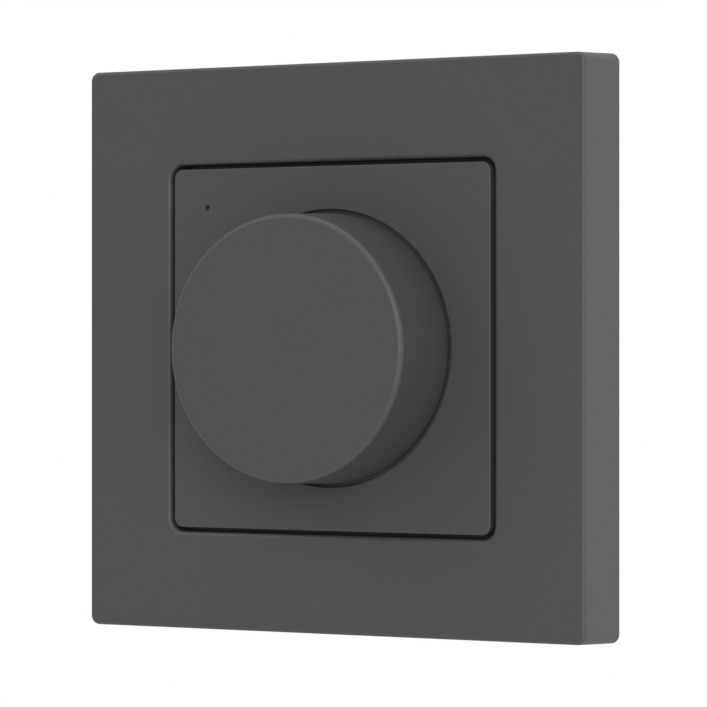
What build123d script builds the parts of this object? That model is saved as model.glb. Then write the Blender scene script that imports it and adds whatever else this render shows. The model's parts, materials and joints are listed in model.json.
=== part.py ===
from build123d import *

import math
import os

# A rotary dimmer panel for a round flush wall box: a square cover frame, a square centre plate and a
# large plain knob in front, and behind them the dimmer itself on its steel support ring.
# Turning the knob turns an endless encoder with detents, and pressing it works a snap-dome switch.
# Everything is drawn lying on its back, +Z out of the wall and +Y up the wall, with the wall's
# surface at Z 0. It is stood upright, with the knob towards -Y, when it is written.

# Cover frame
FRAME_SIZE = 86.0
FRAME_DEPTH = 10.4
FRAME_DRAFT = 0.43
FRAME_CORNER_R = 1.4
FRAME_EDGE_R = 0.55
FRAME_WALL = 2.0
FRAME_FACE_T = 2.4
FRAME_INNER_CORNER_R = 0.6
OPENING_EDGE_R = 0.7
LEDGE_DEPTH = 4.0
LEDGE_T = 1.6
LEDGE_WIDTH = 1.5
TUBE_WALL = 1.8
FRAME_RIB_T = 1.2
FRAME_RIB_SPACING = 40.0
FRAME_RIB_FOOT = 0.5

# Centre plate
PLATE_SIZE = 54.4
PLATE_GAP = 0.65
PLATE_SINK = 0.1
PLATE_T = 2.0
PLATE_SKIRT_T = 1.6
PLATE_CORNER_R = 1.4
PLATE_EDGE_R = 0.15
PLATE_BOSS_R = 9.0
RECESS_DEPTH = 1.1
RECESS_EDGE_R = 0.15
PINHOLE_R = 0.4
PINHOLE_INSET = 5.9
PINHOLE_WALL = 0.8

# Knob
KNOB_BASE_R = 20.1
KNOB_FRONT_R = 19.7
KNOB_HEIGHT = 13.6
KNOB_GAP = 0.5
KNOB_SIDE_GAP = 0.6
KNOB_EDGE_R = 0.8
KNOB_RIM_R = 0.25
KNOB_WALL = 1.8
KNOB_FACE_T = 2.0
KNOB_RIB_COUNT = 6
KNOB_RIB_T = 1.0
KNOB_RIB_DEPTH = 4.0
HUB_R = 5.5
HUB_SLIT = 1.0
HUB_SLIT_DEPTH = 4.5
HUB_RUNNING_GAP = 0.3
SPRING_WIRE_R = 0.4
SPRING_INSET = 1.4
SPRING_OPENING_DEG = 50.0

# Push and turn shaft
SHAFT_R = 3.0
SHAFT_FLAT = 1.5
SHAFT_END_GAP = 0.2
SHAFT_TIP_CHAMFER = 0.4
SHAFT_KEY_R = 2.6
SHAFT_KEY_FLAT = 2.0
PRESS_TRAVEL = 0.4
RUNNING_FIT = 0.04
STOP_RING_R = 3.9
STOP_RING_T = 0.4
STOP_GROOVE_R = 2.5
STOP_RING_GAP_DEG = 60.0

# Threaded bush, nut and washer that clamp the centre plate
BUSH_R = 4.5
BUSH_HOLE_GAP = 0.15
BUSH_LEAD = 0.5
NUT_ACROSS_FLATS = 13.0
NUT_T = 2.5
NUT_CHAMFER = 0.4
WASHER_R = 7.4
WASHER_T = 0.5

# Rotary encoder with push switch
ENCODER_WIDTH = 12.0
ENCODER_HEIGHT = 13.0
BRACKET_T = 0.4
BRACKET_LEG_WIDTH = 5.0
BRACKET_LUG_WIDTH = 2.0
FLANGE_T = 1.0
CASE_T = 5.2
SWITCH_BASE_T = 1.0
ROTOR_R = 4.8
ROTOR_DISC_T = 1.0
ROTOR_HUB_R = 3.7
ROTOR_HUB_T = 2.0
ROTOR_FLOOR_GAP = 0.1
ROTOR_SIDE_GAP = 0.4
ROTOR_CAVITY_DEPTH = 3.4
DETENT_COUNT = 24
DETENT_R = 0.38
DETENT_GAP = 0.08
DETENT_LEAF_T = 0.25
DETENT_LEAF_LENGTH = 9.4
DETENT_PAD = 1.2
CONTACT_RING_T = 0.15
CONTACT_RING_WIDTH = 0.7
CONTACT_TEETH = 12
WIPER_WIDTH = 0.5
WIPER_FOOT = 0.5
WIPER_LENGTH = 1.6
WIPER_T = 0.15
WIPER_SPREAD_DEG = 40.0
SWITCH_WALL_T = 0.8
PLUNGER_R = 3.0
PLUNGER_T = 0.4
PLUNGER_STEM_R = 1.4
DOME_R = 2.9
DOME_T = 0.1
PIN_WIDTH = 0.8
PIN_T = 0.4
PIN_TAIL = 1.4
PIN_RISE = 1.6
PIN_PITCH = 2.5
PIN_HOLE_GAP = 0.2

# Steel support ring
RING_EDGE = 0.9
RING_T = 1.0
RING_CORNER_CUT = 9.0
RING_LIP_LENGTH = 38.0
RING_LIP_HEIGHT = 4.0
RING_BEND_R = 0.6
RING_CUP_GAP = 0.3
SLOT_SPACING = 60.0
SLOT_LENGTH = 7.0
SLOT_WIDTH = 4.2

# Dimmer housing: a front cover and a deep cup, clamped to the ring by two corner screws
CUP_FLANGE_WIDTH = 2.9
CUP_CORNER_R = 8.0
CUP_WALL = 1.6
CUP_EDGE_R = 1.0
CUP_FLANGE_T = 1.4
CUP_BACK_GAP = 1.5
COVER_T = 1.6
COVER_SIDE_GAP = 0.7
COVER_PLATE_GAP = 0.4
COVER_CORNER_R = 3.5
COVER_POST_R = 3.0
SCREW_INSET = 3.1
SCREW_R = 1.25
SCREW_HEAD_R = 2.2
SCREW_HEAD_T = 1.7
SCREW_HOLE_GAP = 0.15
SCREW_HEAD_GAP = 0.3
SCREW_SLOT_WIDTH = 0.6
SCREW_SLOT_DEPTH = 0.8
VENT_COUNT = 5
VENT_WIDTH = 1.6
VENT_LENGTH = 9.0
VENT_PITCH = 4.2
VENT_Y = 6.0

# Circuit boards and what they carry
BOARD_T = 1.6
BOARD_EDGE_GAP = 0.4
BOARD_SPACING = 9.6
BOARD_RIB_WIDTH = 3.0
BOARD_RIB_REACH = 1.8
BOARD_RIB_SPACING = 24.0
POST_R = 1.6
POST_INSET_X = 3.4
POST_TOP_Y = 15.0
HEADER_PINS = 5
HEADER_PITCH = 2.54
HEADER_STRIP = 2.4
HEADER_PIN = 0.64
HEADER_INSET = 2.6
CHIP_SIZE = 7.0
CHIP_T = 0.9
CHIP_INSET = 7.5
LED_LENGTH = 2.0
LED_WIDTH = 1.25
LED_T = 0.8
LED_INSET = 5.4
LED_GAP = 0.1
GUIDE_R = 1.0
GUIDE_HEAD = 4.2
GUIDE_BEND_R = 1.3
GUIDE_GAP = 0.25
CAPACITOR_R = 4.0
CAPACITOR_LENGTH = 12.0
CAPACITOR_X = -2.0
CAPACITOR_GAP = 1.4
CAPACITOR_CRIMP = 0.35
CAPACITOR_CRIMP_AT = 2.0
FILM_WIDTH = 13.0
FILM_HEIGHT = 6.0
FILM_T = 8.4
FILM_INSET = 7.0
FILM_EDGE_R = 0.6
CHOKE_R = 4.5
CHOKE_CORE_R = 2.6
CHOKE_T = 7.6
CHOKE_LIP_T = 1.2
CHOKE_INSET = 9.2
FUSE_R = 4.1
FUSE_T = 7.7
FUSE_GAP = 2.3
FUSE_EDGE_R = 0.6
TRANSISTOR_WIDTH = 10.2
TRANSISTOR_HEIGHT = 9.2
TRANSISTOR_T = 4.4
TRANSISTOR_GAP = 0.8
TRANSISTOR_Y = 1.0
TRANSISTOR_TAB = 1.6
TRANSISTOR_TAB_T = 1.3
PAD_T = 0.5
PAD_MARGIN = 0.5
SPREADER_WIDTH = 32.0
SPREADER_HEIGHT = 18.0
SPREADER_T = 1.5

# Screw terminals for the mains wires
POLE_COUNT = 4
POLE_PITCH = 7.5
POLE_JOINT_GAP = 0.1
POLE_DEPTH = 10.0
POLE_RECESS = 0.4
POLE_CUTOUT_GAP = 0.2
POLE_CAVITY_WIDTH = 5.6
POLE_CAVITY_DEPTH = 4.2
POLE_BACK_T = 2.0
WIRE_HOLE_R = 1.75
WIRE_HOLE_LENGTH = 5.0
WIRE_HOLE_DROP = 3.1
CAGE_GAP = 0.1
CAGE_WALL = 0.8
CAGE_NUT_T = 1.6
CAGE_TAIL_WIDTH = 1.2
CAGE_TAIL_T = 0.8
CLAMP_SCREW_R = 1.45
CLAMP_SCREW_LENGTH = 2.0
CLAMP_HEAD_R = 1.9
CLAMP_HEAD_T = 1.4
CLAMP_HOLE_GAP = 0.15
CLAMP_THREAD_GAP = 0.05

# Levels and sizes that follow from the ones above
FACE_Z = FRAME_DEPTH
LEDGE_Z = FACE_Z - LEDGE_DEPTH
LEDGE_BACK_Z = LEDGE_Z - LEDGE_T
FRAME_INNER_Z = FACE_Z - FRAME_FACE_T
OPENING_SIZE = PLATE_SIZE + 2 * PLATE_GAP
OPENING_CORNER_R = PLATE_CORNER_R + PLATE_GAP
PLATE_FRONT_Z = FACE_Z - PLATE_SINK
PLATE_BACK_Z = PLATE_FRONT_Z - PLATE_T
RECESS_Z = PLATE_FRONT_Z - RECESS_DEPTH
RECESS_R = KNOB_BASE_R + KNOB_SIDE_GAP
PINHOLE_X = -(PLATE_SIZE / 2 - PINHOLE_INSET)
PINHOLE_Y = PLATE_SIZE / 2 - PINHOLE_INSET
COVER_SIZE = PLATE_SIZE - 2 * (PLATE_SKIRT_T + COVER_SIDE_GAP)
COVER_FRONT_Z = PLATE_BACK_Z - COVER_PLATE_GAP
COVER_BACK_Z = COVER_FRONT_Z - COVER_T
RING_SIZE = SLOT_SPACING + SLOT_LENGTH + 2 * (RING_EDGE + RING_BEND_R + RING_T)
CUP_SIZE = COVER_SIZE - 2 * CUP_FLANGE_WIDTH
CUP_FLANGE_Z = RING_T + CUP_FLANGE_T
SCREW_AT = COVER_SIZE / 2 - SCREW_INSET
SCREW_SEAT_Z = COVER_FRONT_Z - SCREW_HEAD_T - SCREW_HEAD_GAP
BRACKET_BACK_Z = COVER_BACK_Z - BRACKET_T
FLANGE_BACK_Z = BRACKET_BACK_Z - FLANGE_T
CASE_BACK_Z = FLANGE_BACK_Z - CASE_T
CONTROL_FRONT_Z = CASE_BACK_Z - SWITCH_BASE_T
CONTROL_BACK_Z = CONTROL_FRONT_Z - BOARD_T
POWER_FRONT_Z = CONTROL_BACK_Z - BOARD_SPACING
POWER_BACK_Z = POWER_FRONT_Z - BOARD_T
TRANSISTOR_BACK_Z = POWER_BACK_Z - TRANSISTOR_T
SPREADER_FRONT_Z = TRANSISTOR_BACK_Z - PAD_T
SPREADER_BACK_Z = SPREADER_FRONT_Z - SPREADER_T
CUP_FLOOR_Z = SPREADER_BACK_Z - CUP_BACK_GAP
CUP_BACK_Z = CUP_FLOOR_Z - CUP_WALL
CUP_INNER = CUP_SIZE - 2 * CUP_WALL
CUP_INNER_R = CUP_CORNER_R - CUP_WALL
WASHER_FRONT_Z = RECESS_Z + WASHER_T
NUT_FRONT_Z = WASHER_FRONT_Z + NUT_T
BUSH_FRONT_Z = NUT_FRONT_Z + BUSH_LEAD
KNOB_BASE_Z = RECESS_Z + KNOB_GAP
KNOB_FRONT_Z = KNOB_BASE_Z + KNOB_HEIGHT
KNOB_INNER_Z = KNOB_FRONT_Z - KNOB_FACE_T
HUB_BACK_Z = BUSH_FRONT_Z + PRESS_TRAVEL + HUB_RUNNING_GAP
SPRING_Z = HUB_BACK_Z + SPRING_INSET
SHAFT_FRONT_Z = KNOB_INNER_Z - SHAFT_END_GAP
ROTOR_CAVITY_R = ROTOR_R + ROTOR_SIDE_GAP
ROTOR_FLOOR_Z = FLANGE_BACK_Z - ROTOR_CAVITY_DEPTH
ROTOR_BACK_Z = ROTOR_FLOOR_Z + ROTOR_FLOOR_GAP
ROTOR_FRONT_Z = ROTOR_BACK_Z + ROTOR_HUB_T
ROTOR_DISC_Z = (ROTOR_BACK_Z + ROTOR_FRONT_Z - ROTOR_DISC_T) / 2
SWITCH_TOP_Z = ROTOR_FLOOR_Z - SWITCH_WALL_T
STOP_RING_FRONT_Z = FLANGE_BACK_Z - RUNNING_FIT
STOP_RING_BACK_Z = STOP_RING_FRONT_Z - STOP_RING_T
SHAFT_SHOULDER_Z = ROTOR_FRONT_Z + PRESS_TRAVEL + 2 * RUNNING_FIT
PLUNGER_STEM_Z = ROTOR_BACK_Z + PRESS_TRAVEL + 2 * RUNNING_FIT
DETENT_CENTRE = ROTOR_R + DETENT_GAP
LEAF_TOP_Y = DETENT_CENTRE + DETENT_R + DETENT_LEAF_T
POWER_WIDTH = CUP_INNER - 2 * (BOARD_RIB_REACH + BOARD_EDGE_GAP)
CONTROL_SIZE = CUP_INNER - 2 * BOARD_EDGE_GAP
HEADER_X = POWER_WIDTH / 2 - HEADER_INSET
CHIP_AT = CONTROL_SIZE / 2 - CHIP_INSET
LED_X = -(CONTROL_SIZE / 2 - LED_INSET)
LED_Y = CONTROL_SIZE / 2 - LED_INSET
POST_X = CUP_INNER / 2 - POST_INSET_X
POLE_BOTTOM_Y = -CUP_SIZE / 2
POLE_TOP_Y = POLE_BOTTOM_Y + POLE_DEPTH
POLE_BACK_Z = CUP_BACK_Z + POLE_RECESS
POLE_XS = [(i - (POLE_COUNT - 1) / 2) * POLE_PITCH for i in range(POLE_COUNT)]
CAVITY_Y = POLE_BOTTOM_Y + WIRE_HOLE_LENGTH + POLE_CAVITY_DEPTH / 2
CAVITY_BACK_Z = POLE_BACK_Z + POLE_BACK_T
WIRE_HOLE_Z = POWER_BACK_Z - WIRE_HOLE_DROP
CAPACITOR_Y = CAVITY_Y + CAPACITOR_GAP + CAPACITOR_R
FILM_Y = CONTROL_SIZE / 2 - FILM_INSET
CHOKE_X = CHOKE_INSET - POWER_WIDTH / 2
CHOKE_Y = (CAPACITOR_Y + CAPACITOR_R + FILM_Y - FILM_HEIGHT / 2) / 2
FUSE_X = HEADER_X - HEADER_STRIP / 2 - FUSE_GAP - FUSE_R
FUSE_Y = CHOKE_Y
TRANSISTOR_X = HEADER_X - HEADER_STRIP / 2 - TRANSISTOR_GAP - TRANSISTOR_WIDTH / 2
PIN_XS = [(i - 1) * PIN_PITCH for i in range(3)]
SWITCH_PIN_XS = [-PIN_PITCH, PIN_PITCH]
PIN_Y = (ENCODER_HEIGHT + PIN_T) / 2


# Plain shapes between two levels
def block(width, height, low, high, x=0.0, y=0.0):
    """A box between two levels."""
    return Pos(x, y, (low + high) / 2) * Box(width, height, high - low)


def rod(radius, low, high, x=0.0, y=0.0):
    """A cylinder between two levels."""
    return Pos(x, y, (low + high) / 2) * Cylinder(radius, high - low)


def rounded(width, height, corner, low, high, x=0.0, y=0.0):
    """A box between two levels with round upright corners."""
    return extrude(Pos(x, y, low) * RectangleRounded(width, height, corner), high - low)


def slot(length, width, angle, low, high, x=0.0, y=0.0):
    """A round-ended slot between two levels."""
    return extrude(Pos(x, y, low) * SlotOverall(length, width, rotation=angle), high - low)


def flat_rod(radius, flats, low, high):
    """A round bar with one or two flats at these distances from its axis, on +X and then -X."""
    bar = rod(radius, low, high)
    for side, flat in zip((1, -1), flats):
        bar -= block(2 * radius, 4 * radius, low, high, x=side * (flat + radius))
    return bar


def edges_at(part, level):
    """The edges of a part that lie in one level."""
    return part.edges().filter_by_position(Axis.Z, level - 1e-4, level + 1e-4)


# The cover frame: a hollow, slightly tapered square with a tube for the centre plate
def cover_frame():
    """The square frame, with a ledge in its opening that the centre plate clamps to the wall."""
    lean = FRAME_DRAFT / FRAME_DEPTH
    inner_front = FRAME_SIZE - 2 * (FRAME_WALL + lean * FRAME_INNER_Z)
    inner_back = FRAME_SIZE - 2 * FRAME_WALL
    front = FRAME_SIZE - 2 * FRAME_DRAFT
    outside = loft(
        [
            RectangleRounded(FRAME_SIZE, FRAME_SIZE, FRAME_CORNER_R),
            Pos(0, 0, FACE_Z) * RectangleRounded(front, front, FRAME_CORNER_R),
        ]
    )
    hollow = loft(
        [
            RectangleRounded(inner_back, inner_back, FRAME_INNER_CORNER_R),
            Pos(0, 0, FRAME_INNER_Z) * RectangleRounded(inner_front, inner_front, FRAME_INNER_CORNER_R),
        ]
    )
    frame = fillet(edges_at(outside, FACE_Z), FRAME_EDGE_R) - hollow
    tube = OPENING_SIZE + 2 * TUBE_WALL
    frame += rounded(tube, tube, OPENING_CORNER_R + TUBE_WALL, LEDGE_BACK_Z, FACE_Z - FRAME_EDGE_R)
    rib_from = tube / 2 - TUBE_WALL / 2
    rib_to = inner_front / 2 + FRAME_WALL / 2
    for quarter in range(4):
        for side in (-1, 1):
            rib = block(
                FRAME_RIB_T,
                rib_to - rib_from,
                LEDGE_BACK_Z + FRAME_RIB_FOOT,
                FRAME_INNER_Z + FRAME_FACE_T / 2,
                x=side * FRAME_RIB_SPACING / 2,
                y=(rib_from + rib_to) / 2,
            )
            frame += Rot(0, 0, 90 * quarter) * rib
    ledge_hole = OPENING_SIZE - 2 * LEDGE_WIDTH
    frame -= rounded(ledge_hole, ledge_hole, OPENING_CORNER_R, LEDGE_BACK_Z, LEDGE_Z)
    frame -= rounded(OPENING_SIZE, OPENING_SIZE, OPENING_CORNER_R, LEDGE_Z, FACE_Z)
    mouth = frame.faces().sort_by(Axis.Z)[-1].inner_wires()[0]
    return fillet(mouth.edges(), OPENING_EDGE_R)


# The centre plate: a shallow square cap with a round recess that the knob stands in, a hole for the
# bush and a pinhole for the indicator
def centre_plate():
    """The square plate under the knob, resting on the frame's ledge."""
    plate = rounded(PLATE_SIZE, PLATE_SIZE, PLATE_CORNER_R, LEDGE_Z, PLATE_FRONT_Z)
    plate = fillet(edges_at(plate, PLATE_FRONT_Z), PLATE_EDGE_R)
    plate -= rod(RECESS_R, RECESS_Z, PLATE_FRONT_Z)
    rims = edges_at(plate, PLATE_FRONT_Z).filter_by(GeomType.CIRCLE)
    plate = fillet(rims.sort_by(SortBy.RADIUS)[-1], RECESS_EDGE_R)
    inside = PLATE_SIZE - 2 * PLATE_SKIRT_T
    plate -= rounded(inside, inside, PLATE_CORNER_R, LEDGE_Z, PLATE_BACK_Z)
    plate += rod(PLATE_BOSS_R, COVER_FRONT_Z, PLATE_BACK_Z)
    plate -= rod(BUSH_R + BUSH_HOLE_GAP, COVER_FRONT_Z, RECESS_Z)
    plate -= rod(PINHOLE_R, PLATE_BACK_Z, PLATE_FRONT_Z, PINHOLE_X, PINHOLE_Y)
    socket_top = PLATE_FRONT_Z - PINHOLE_WALL
    return plate - rod(GUIDE_R + GUIDE_GAP, PLATE_BACK_Z, socket_top, PINHOLE_X, PINHOLE_Y)


def fixing_washer():
    """The flat washer under the nut."""
    return rod(WASHER_R, RECESS_Z, WASHER_FRONT_Z) - rod(BUSH_R + BUSH_HOLE_GAP, RECESS_Z, WASHER_FRONT_Z)


def fixing_nut():
    """The hexagon nut that clamps the centre plate, with both rims turned down."""
    corner_r = NUT_ACROSS_FLATS / math.sqrt(3)
    nut = extrude(Pos(0, 0, WASHER_FRONT_Z) * RegularPolygon(corner_r, 6), NUT_T)
    turned = rod(corner_r, WASHER_FRONT_Z, NUT_FRONT_Z)
    turned = chamfer(turned.edges().filter_by(GeomType.CIRCLE), NUT_CHAMFER)
    return (nut & turned) - rod(BUSH_R + RUNNING_FIT, WASHER_FRONT_Z, NUT_FRONT_Z)


# The knob: a turned-looking cap with a slit hub that a wire spring closes on the shaft
def knob():
    """The hollow knob, with ribs and a split hub that has a D-shaped bore."""
    lean = (KNOB_BASE_R - KNOB_FRONT_R) / KNOB_HEIGHT
    inner_base_r = KNOB_BASE_R - KNOB_WALL
    inner_front_r = inner_base_r - lean * (KNOB_HEIGHT - KNOB_FACE_T)
    outside = Pos(0, 0, KNOB_BASE_Z + KNOB_HEIGHT / 2) * Cone(KNOB_BASE_R, KNOB_FRONT_R, KNOB_HEIGHT)
    outside = fillet(edges_at(outside, KNOB_FRONT_Z), KNOB_EDGE_R)
    outside = fillet(edges_at(outside, KNOB_BASE_Z), KNOB_RIM_R)
    depth = KNOB_INNER_Z - KNOB_BASE_Z
    cap = outside - Pos(0, 0, KNOB_BASE_Z + depth / 2) * Cone(inner_base_r, inner_front_r, depth)
    cap += rod(HUB_R, HUB_BACK_Z, KNOB_INNER_Z)
    rib_length = inner_front_r + KNOB_WALL / 2
    for i in range(KNOB_RIB_COUNT):
        rib = block(rib_length, KNOB_RIB_T, KNOB_INNER_Z - KNOB_RIB_DEPTH, KNOB_INNER_Z, x=rib_length / 2)
        cap += Rot(0, 0, 360 * i / KNOB_RIB_COUNT) * rib
    cap -= flat_rod(SHAFT_R + RUNNING_FIT, [SHAFT_FLAT + RUNNING_FIT], HUB_BACK_Z, KNOB_INNER_Z)
    cap -= block(HUB_SLIT, 2 * HUB_R, HUB_BACK_Z, HUB_BACK_Z + HUB_SLIT_DEPTH)
    reach = SPRING_WIRE_R + RUNNING_FIT
    groove = rod(HUB_R, SPRING_Z - reach, SPRING_Z + reach)
    return cap - (groove - rod(HUB_R - reach, SPRING_Z - reach, SPRING_Z + reach))


def knob_spring():
    """The open ring of spring wire round the knob's hub."""
    section = Plane.XZ * Pos(HUB_R, SPRING_Z) * Circle(SPRING_WIRE_R)
    return Rot(0, 0, SPRING_OPENING_DEG / 2) * revolve(section, Axis.Z, 360 - SPRING_OPENING_DEG)


# The shaft that the knob is pushed on to, and its stop ring
def encoder_shaft():
    """The shaft: a D-shaped end for the knob, a groove for its stop ring and a key for the rotor."""
    shaft = rod(SHAFT_R, SHAFT_SHOULDER_Z, SHAFT_FRONT_Z)
    shaft = chamfer(edges_at(shaft, SHAFT_FRONT_Z), SHAFT_TIP_CHAMFER)
    shaft -= block(SHAFT_R, 2 * SHAFT_R, HUB_BACK_Z, SHAFT_FRONT_Z, x=SHAFT_FLAT + SHAFT_R / 2)
    groove_back = STOP_RING_BACK_Z - RUNNING_FIT
    groove_front = STOP_RING_FRONT_Z + RUNNING_FIT
    shaft -= rod(SHAFT_R, groove_back, groove_front) - rod(STOP_GROOVE_R, groove_back, groove_front)
    return shaft + flat_rod(SHAFT_KEY_R, [SHAFT_KEY_FLAT] * 2, PLUNGER_STEM_Z, SHAFT_SHOULDER_Z)


def shaft_stop_ring():
    """The open retaining ring in the shaft's groove."""
    inner_r = STOP_GROOVE_R + RUNNING_FIT
    strip = Rectangle(STOP_RING_R - inner_r, STOP_RING_T, align=Align.MIN)
    section = Plane.XZ * Pos(inner_r, STOP_RING_BACK_Z) * strip
    return Rot(0, 0, STOP_RING_GAP_DEG / 2 - 90) * revolve(section, Axis.Z, 360 - STOP_RING_GAP_DEG)


# The encoder: bush and flange, bracket, case, rotor, detent leaf, contacts and snap switch
def encoder_bush():
    """The bush that the nut screws on to, cast in one with the encoder's front flange."""
    bush = rod(BUSH_R, BRACKET_BACK_Z, BUSH_FRONT_Z)
    bush = chamfer(edges_at(bush, BUSH_FRONT_Z), BUSH_LEAD)
    bush += block(ENCODER_WIDTH, ENCODER_HEIGHT, FLANGE_BACK_Z, BRACKET_BACK_Z)
    return bush - rod(SHAFT_R + RUNNING_FIT, FLANGE_BACK_Z, BUSH_FRONT_Z)


def encoder_bracket():
    """The bent steel strap that holds flange and case together and is soldered to the board."""
    wide = ENCODER_WIDTH + 2 * BRACKET_T
    strap = block(wide, ENCODER_HEIGHT, BRACKET_BACK_Z, COVER_BACK_Z)
    strap -= rod(BUSH_R + BUSH_HOLE_GAP, BRACKET_BACK_Z, COVER_BACK_Z)
    for side in (-1, 1):
        x = side * (ENCODER_WIDTH + BRACKET_T) / 2
        strap += block(BRACKET_T, BRACKET_LEG_WIDTH, CONTROL_FRONT_Z, COVER_BACK_Z, x=x)
        strap += block(BRACKET_T, BRACKET_LUG_WIDTH, CONTROL_BACK_Z - PIN_TAIL, CONTROL_FRONT_Z, x=x)
    return strap


def encoder_case():
    """The moulded case: a round chamber for the rotor, a pocket for its leaf, and the switch chamber."""
    case = block(ENCODER_WIDTH, ENCODER_HEIGHT, CASE_BACK_Z, FLANGE_BACK_Z)
    case -= rod(ROTOR_CAVITY_R, ROTOR_FLOOR_Z, FLANGE_BACK_Z)
    pocket = DETENT_LEAF_LENGTH + 2 * DETENT_GAP
    case -= block(pocket, LEAF_TOP_Y, ROTOR_FLOOR_Z, FLANGE_BACK_Z, y=LEAF_TOP_Y / 2)
    spring_room = LEAF_TOP_Y + DETENT_R
    case -= block(pocket - 2 * DETENT_PAD, spring_room, ROTOR_FLOOR_Z, FLANGE_BACK_Z, y=spring_room / 2)
    case -= rod(PLUNGER_STEM_R + RUNNING_FIT, SWITCH_TOP_Z, ROTOR_FLOOR_Z)
    return case - rod(PLUNGER_R + ROTOR_SIDE_GAP, CASE_BACK_Z, SWITCH_TOP_Z)


def switch_base():
    """The plate that closes the case at the back and carries the snap dome."""
    return block(ENCODER_WIDTH, ENCODER_HEIGHT, CONTROL_FRONT_Z, CASE_BACK_Z)


def switch_plunger():
    """The push-piece between the shaft and the snap dome."""
    return rod(PLUNGER_R, SWITCH_TOP_Z - PLUNGER_T, SWITCH_TOP_Z) + rod(
        PLUNGER_STEM_R, SWITCH_TOP_Z, PLUNGER_STEM_Z
    )


def switch_dome():
    """The thin sprung metal dome under the plunger."""
    apex = SWITCH_TOP_Z - PLUNGER_T
    rise = apex - CASE_BACK_Z
    ball_r = (DOME_R**2 + rise**2) / (2 * rise)
    centre_z = apex - ball_r
    shell = Pos(0, 0, centre_z) * (Sphere(ball_r) - Sphere(ball_r - DOME_T))
    return shell & rod(DOME_R + DOME_T, CASE_BACK_Z, apex + DOME_T)


def encoder_rotor():
    """The rotor: a hub keyed to the shaft and a disc with a notch for each click."""
    rotor = rod(ROTOR_R, ROTOR_DISC_Z, ROTOR_DISC_Z + ROTOR_DISC_T)
    rotor += rod(ROTOR_HUB_R, ROTOR_BACK_Z, ROTOR_FRONT_Z)
    notch = rod(DETENT_R, ROTOR_DISC_Z, ROTOR_DISC_Z + ROTOR_DISC_T, y=DETENT_CENTRE)
    for i in range(DETENT_COUNT):
        rotor -= Rot(0, 0, 360 * i / DETENT_COUNT) * notch
    return rotor - flat_rod(
        SHAFT_KEY_R + RUNNING_FIT, [SHAFT_KEY_FLAT + RUNNING_FIT] * 2, ROTOR_BACK_Z, ROTOR_FRONT_Z
    )


def rotor_contact():
    """The toothed contact ring under the rotor's disc."""
    low = ROTOR_DISC_Z - CONTACT_RING_T
    inner_r = ROTOR_HUB_R + RUNNING_FIT
    ring = rod(inner_r + CONTACT_RING_WIDTH, low, ROTOR_DISC_Z) - rod(inner_r, low, ROTOR_DISC_Z)
    tooth_step = 360 / CONTACT_TEETH
    gap_width = math.pi * inner_r / CONTACT_TEETH
    gap = block(CONTACT_RING_WIDTH, gap_width, low, ROTOR_DISC_Z, x=inner_r + CONTACT_RING_WIDTH)
    for i in range(CONTACT_TEETH):
        ring -= Rot(0, 0, tooth_step * i) * gap
    return ring


def detent_leaf():
    """The leaf spring whose round nose rides in the rotor's notches."""
    low = ROTOR_DISC_Z + RUNNING_FIT
    high = ROTOR_DISC_Z + ROTOR_DISC_T - RUNNING_FIT
    leaf_y = LEAF_TOP_Y - DETENT_LEAF_T / 2
    nose_r = DETENT_R - DETENT_GAP
    leaf = block(DETENT_LEAF_LENGTH, DETENT_LEAF_T, low, high, y=leaf_y)
    leaf += block(2 * nose_r, leaf_y - DETENT_CENTRE, low, high, y=(leaf_y + DETENT_CENTRE) / 2)
    return leaf + rod(nose_r, low, high, y=DETENT_CENTRE)


def encoder_wipers():
    """The three sprung wipers on the floor of the rotor's chamber."""
    radius = ROTOR_HUB_R + RUNNING_FIT + CONTACT_RING_WIDTH - WIPER_WIDTH / 2
    top = ROTOR_DISC_Z - CONTACT_RING_T - RUNNING_FIT
    middle = WIPER_T / 2
    strip = Polyline(
        (0, ROTOR_FLOOR_Z + middle),
        (WIPER_FOOT, ROTOR_FLOOR_Z + middle),
        (WIPER_LENGTH, top - middle),
    )
    wiper = extrude(Plane.YZ * trace(strip, WIPER_T), WIPER_WIDTH / 2, both=True)
    return Part() + [Rot(0, 0, WIPER_SPREAD_DEG * i - 90) * Pos(radius, 0, 0) * wiper for i in (-1, 0, 1)]


def pin_row(xs, side):
    """Straight flat pins against one side of the encoder's case, down through the control board."""
    return [
        block(PIN_WIDTH, PIN_T, CONTROL_BACK_Z - PIN_TAIL, CASE_BACK_Z + PIN_RISE, x=x, y=side * PIN_Y)
        for x in xs
    ]


def encoder_pins():
    """The encoder's five pins: three for its contacts below, two for its switch above."""
    return Part() + pin_row(PIN_XS, -1) + pin_row(SWITCH_PIN_XS, 1)


# The support ring: one stamping with a bent lip on each side
def support_ring():
    """The steel ring that is screwed to the wall box."""
    flat = RING_SIZE - 2 * (RING_BEND_R + RING_T)
    outline = Rectangle(flat, flat)
    ring = extrude(chamfer(outline.vertices(), RING_CORNER_CUT), RING_T)
    middle = RING_T / 2
    edge = RING_SIZE / 2 - middle
    bent = FilletPolyline(
        (flat / 2 - RING_T, middle),
        (edge, middle),
        (edge, RING_LIP_HEIGHT),
        radius=RING_BEND_R + middle,
    )
    lip = extrude(Plane.YZ * trace(bent, RING_T), RING_LIP_LENGTH / 2, both=True)
    for quarter in range(4):
        ring += Rot(0, 0, 90 * quarter) * lip
        ring -= Rot(0, 0, 90 * quarter) * slot(SLOT_LENGTH, SLOT_WIDTH, 90, 0, RING_T, y=SLOT_SPACING / 2)
    hole = CUP_SIZE + 2 * RING_CUP_GAP
    ring -= rounded(hole, hole, CUP_CORNER_R + RING_CUP_GAP, 0, RING_T)
    for side in (-1, 1):
        ring -= rod(SCREW_R + RUNNING_FIT, 0, RING_T, side * SCREW_AT, side * SCREW_AT)
    return ring


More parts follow.
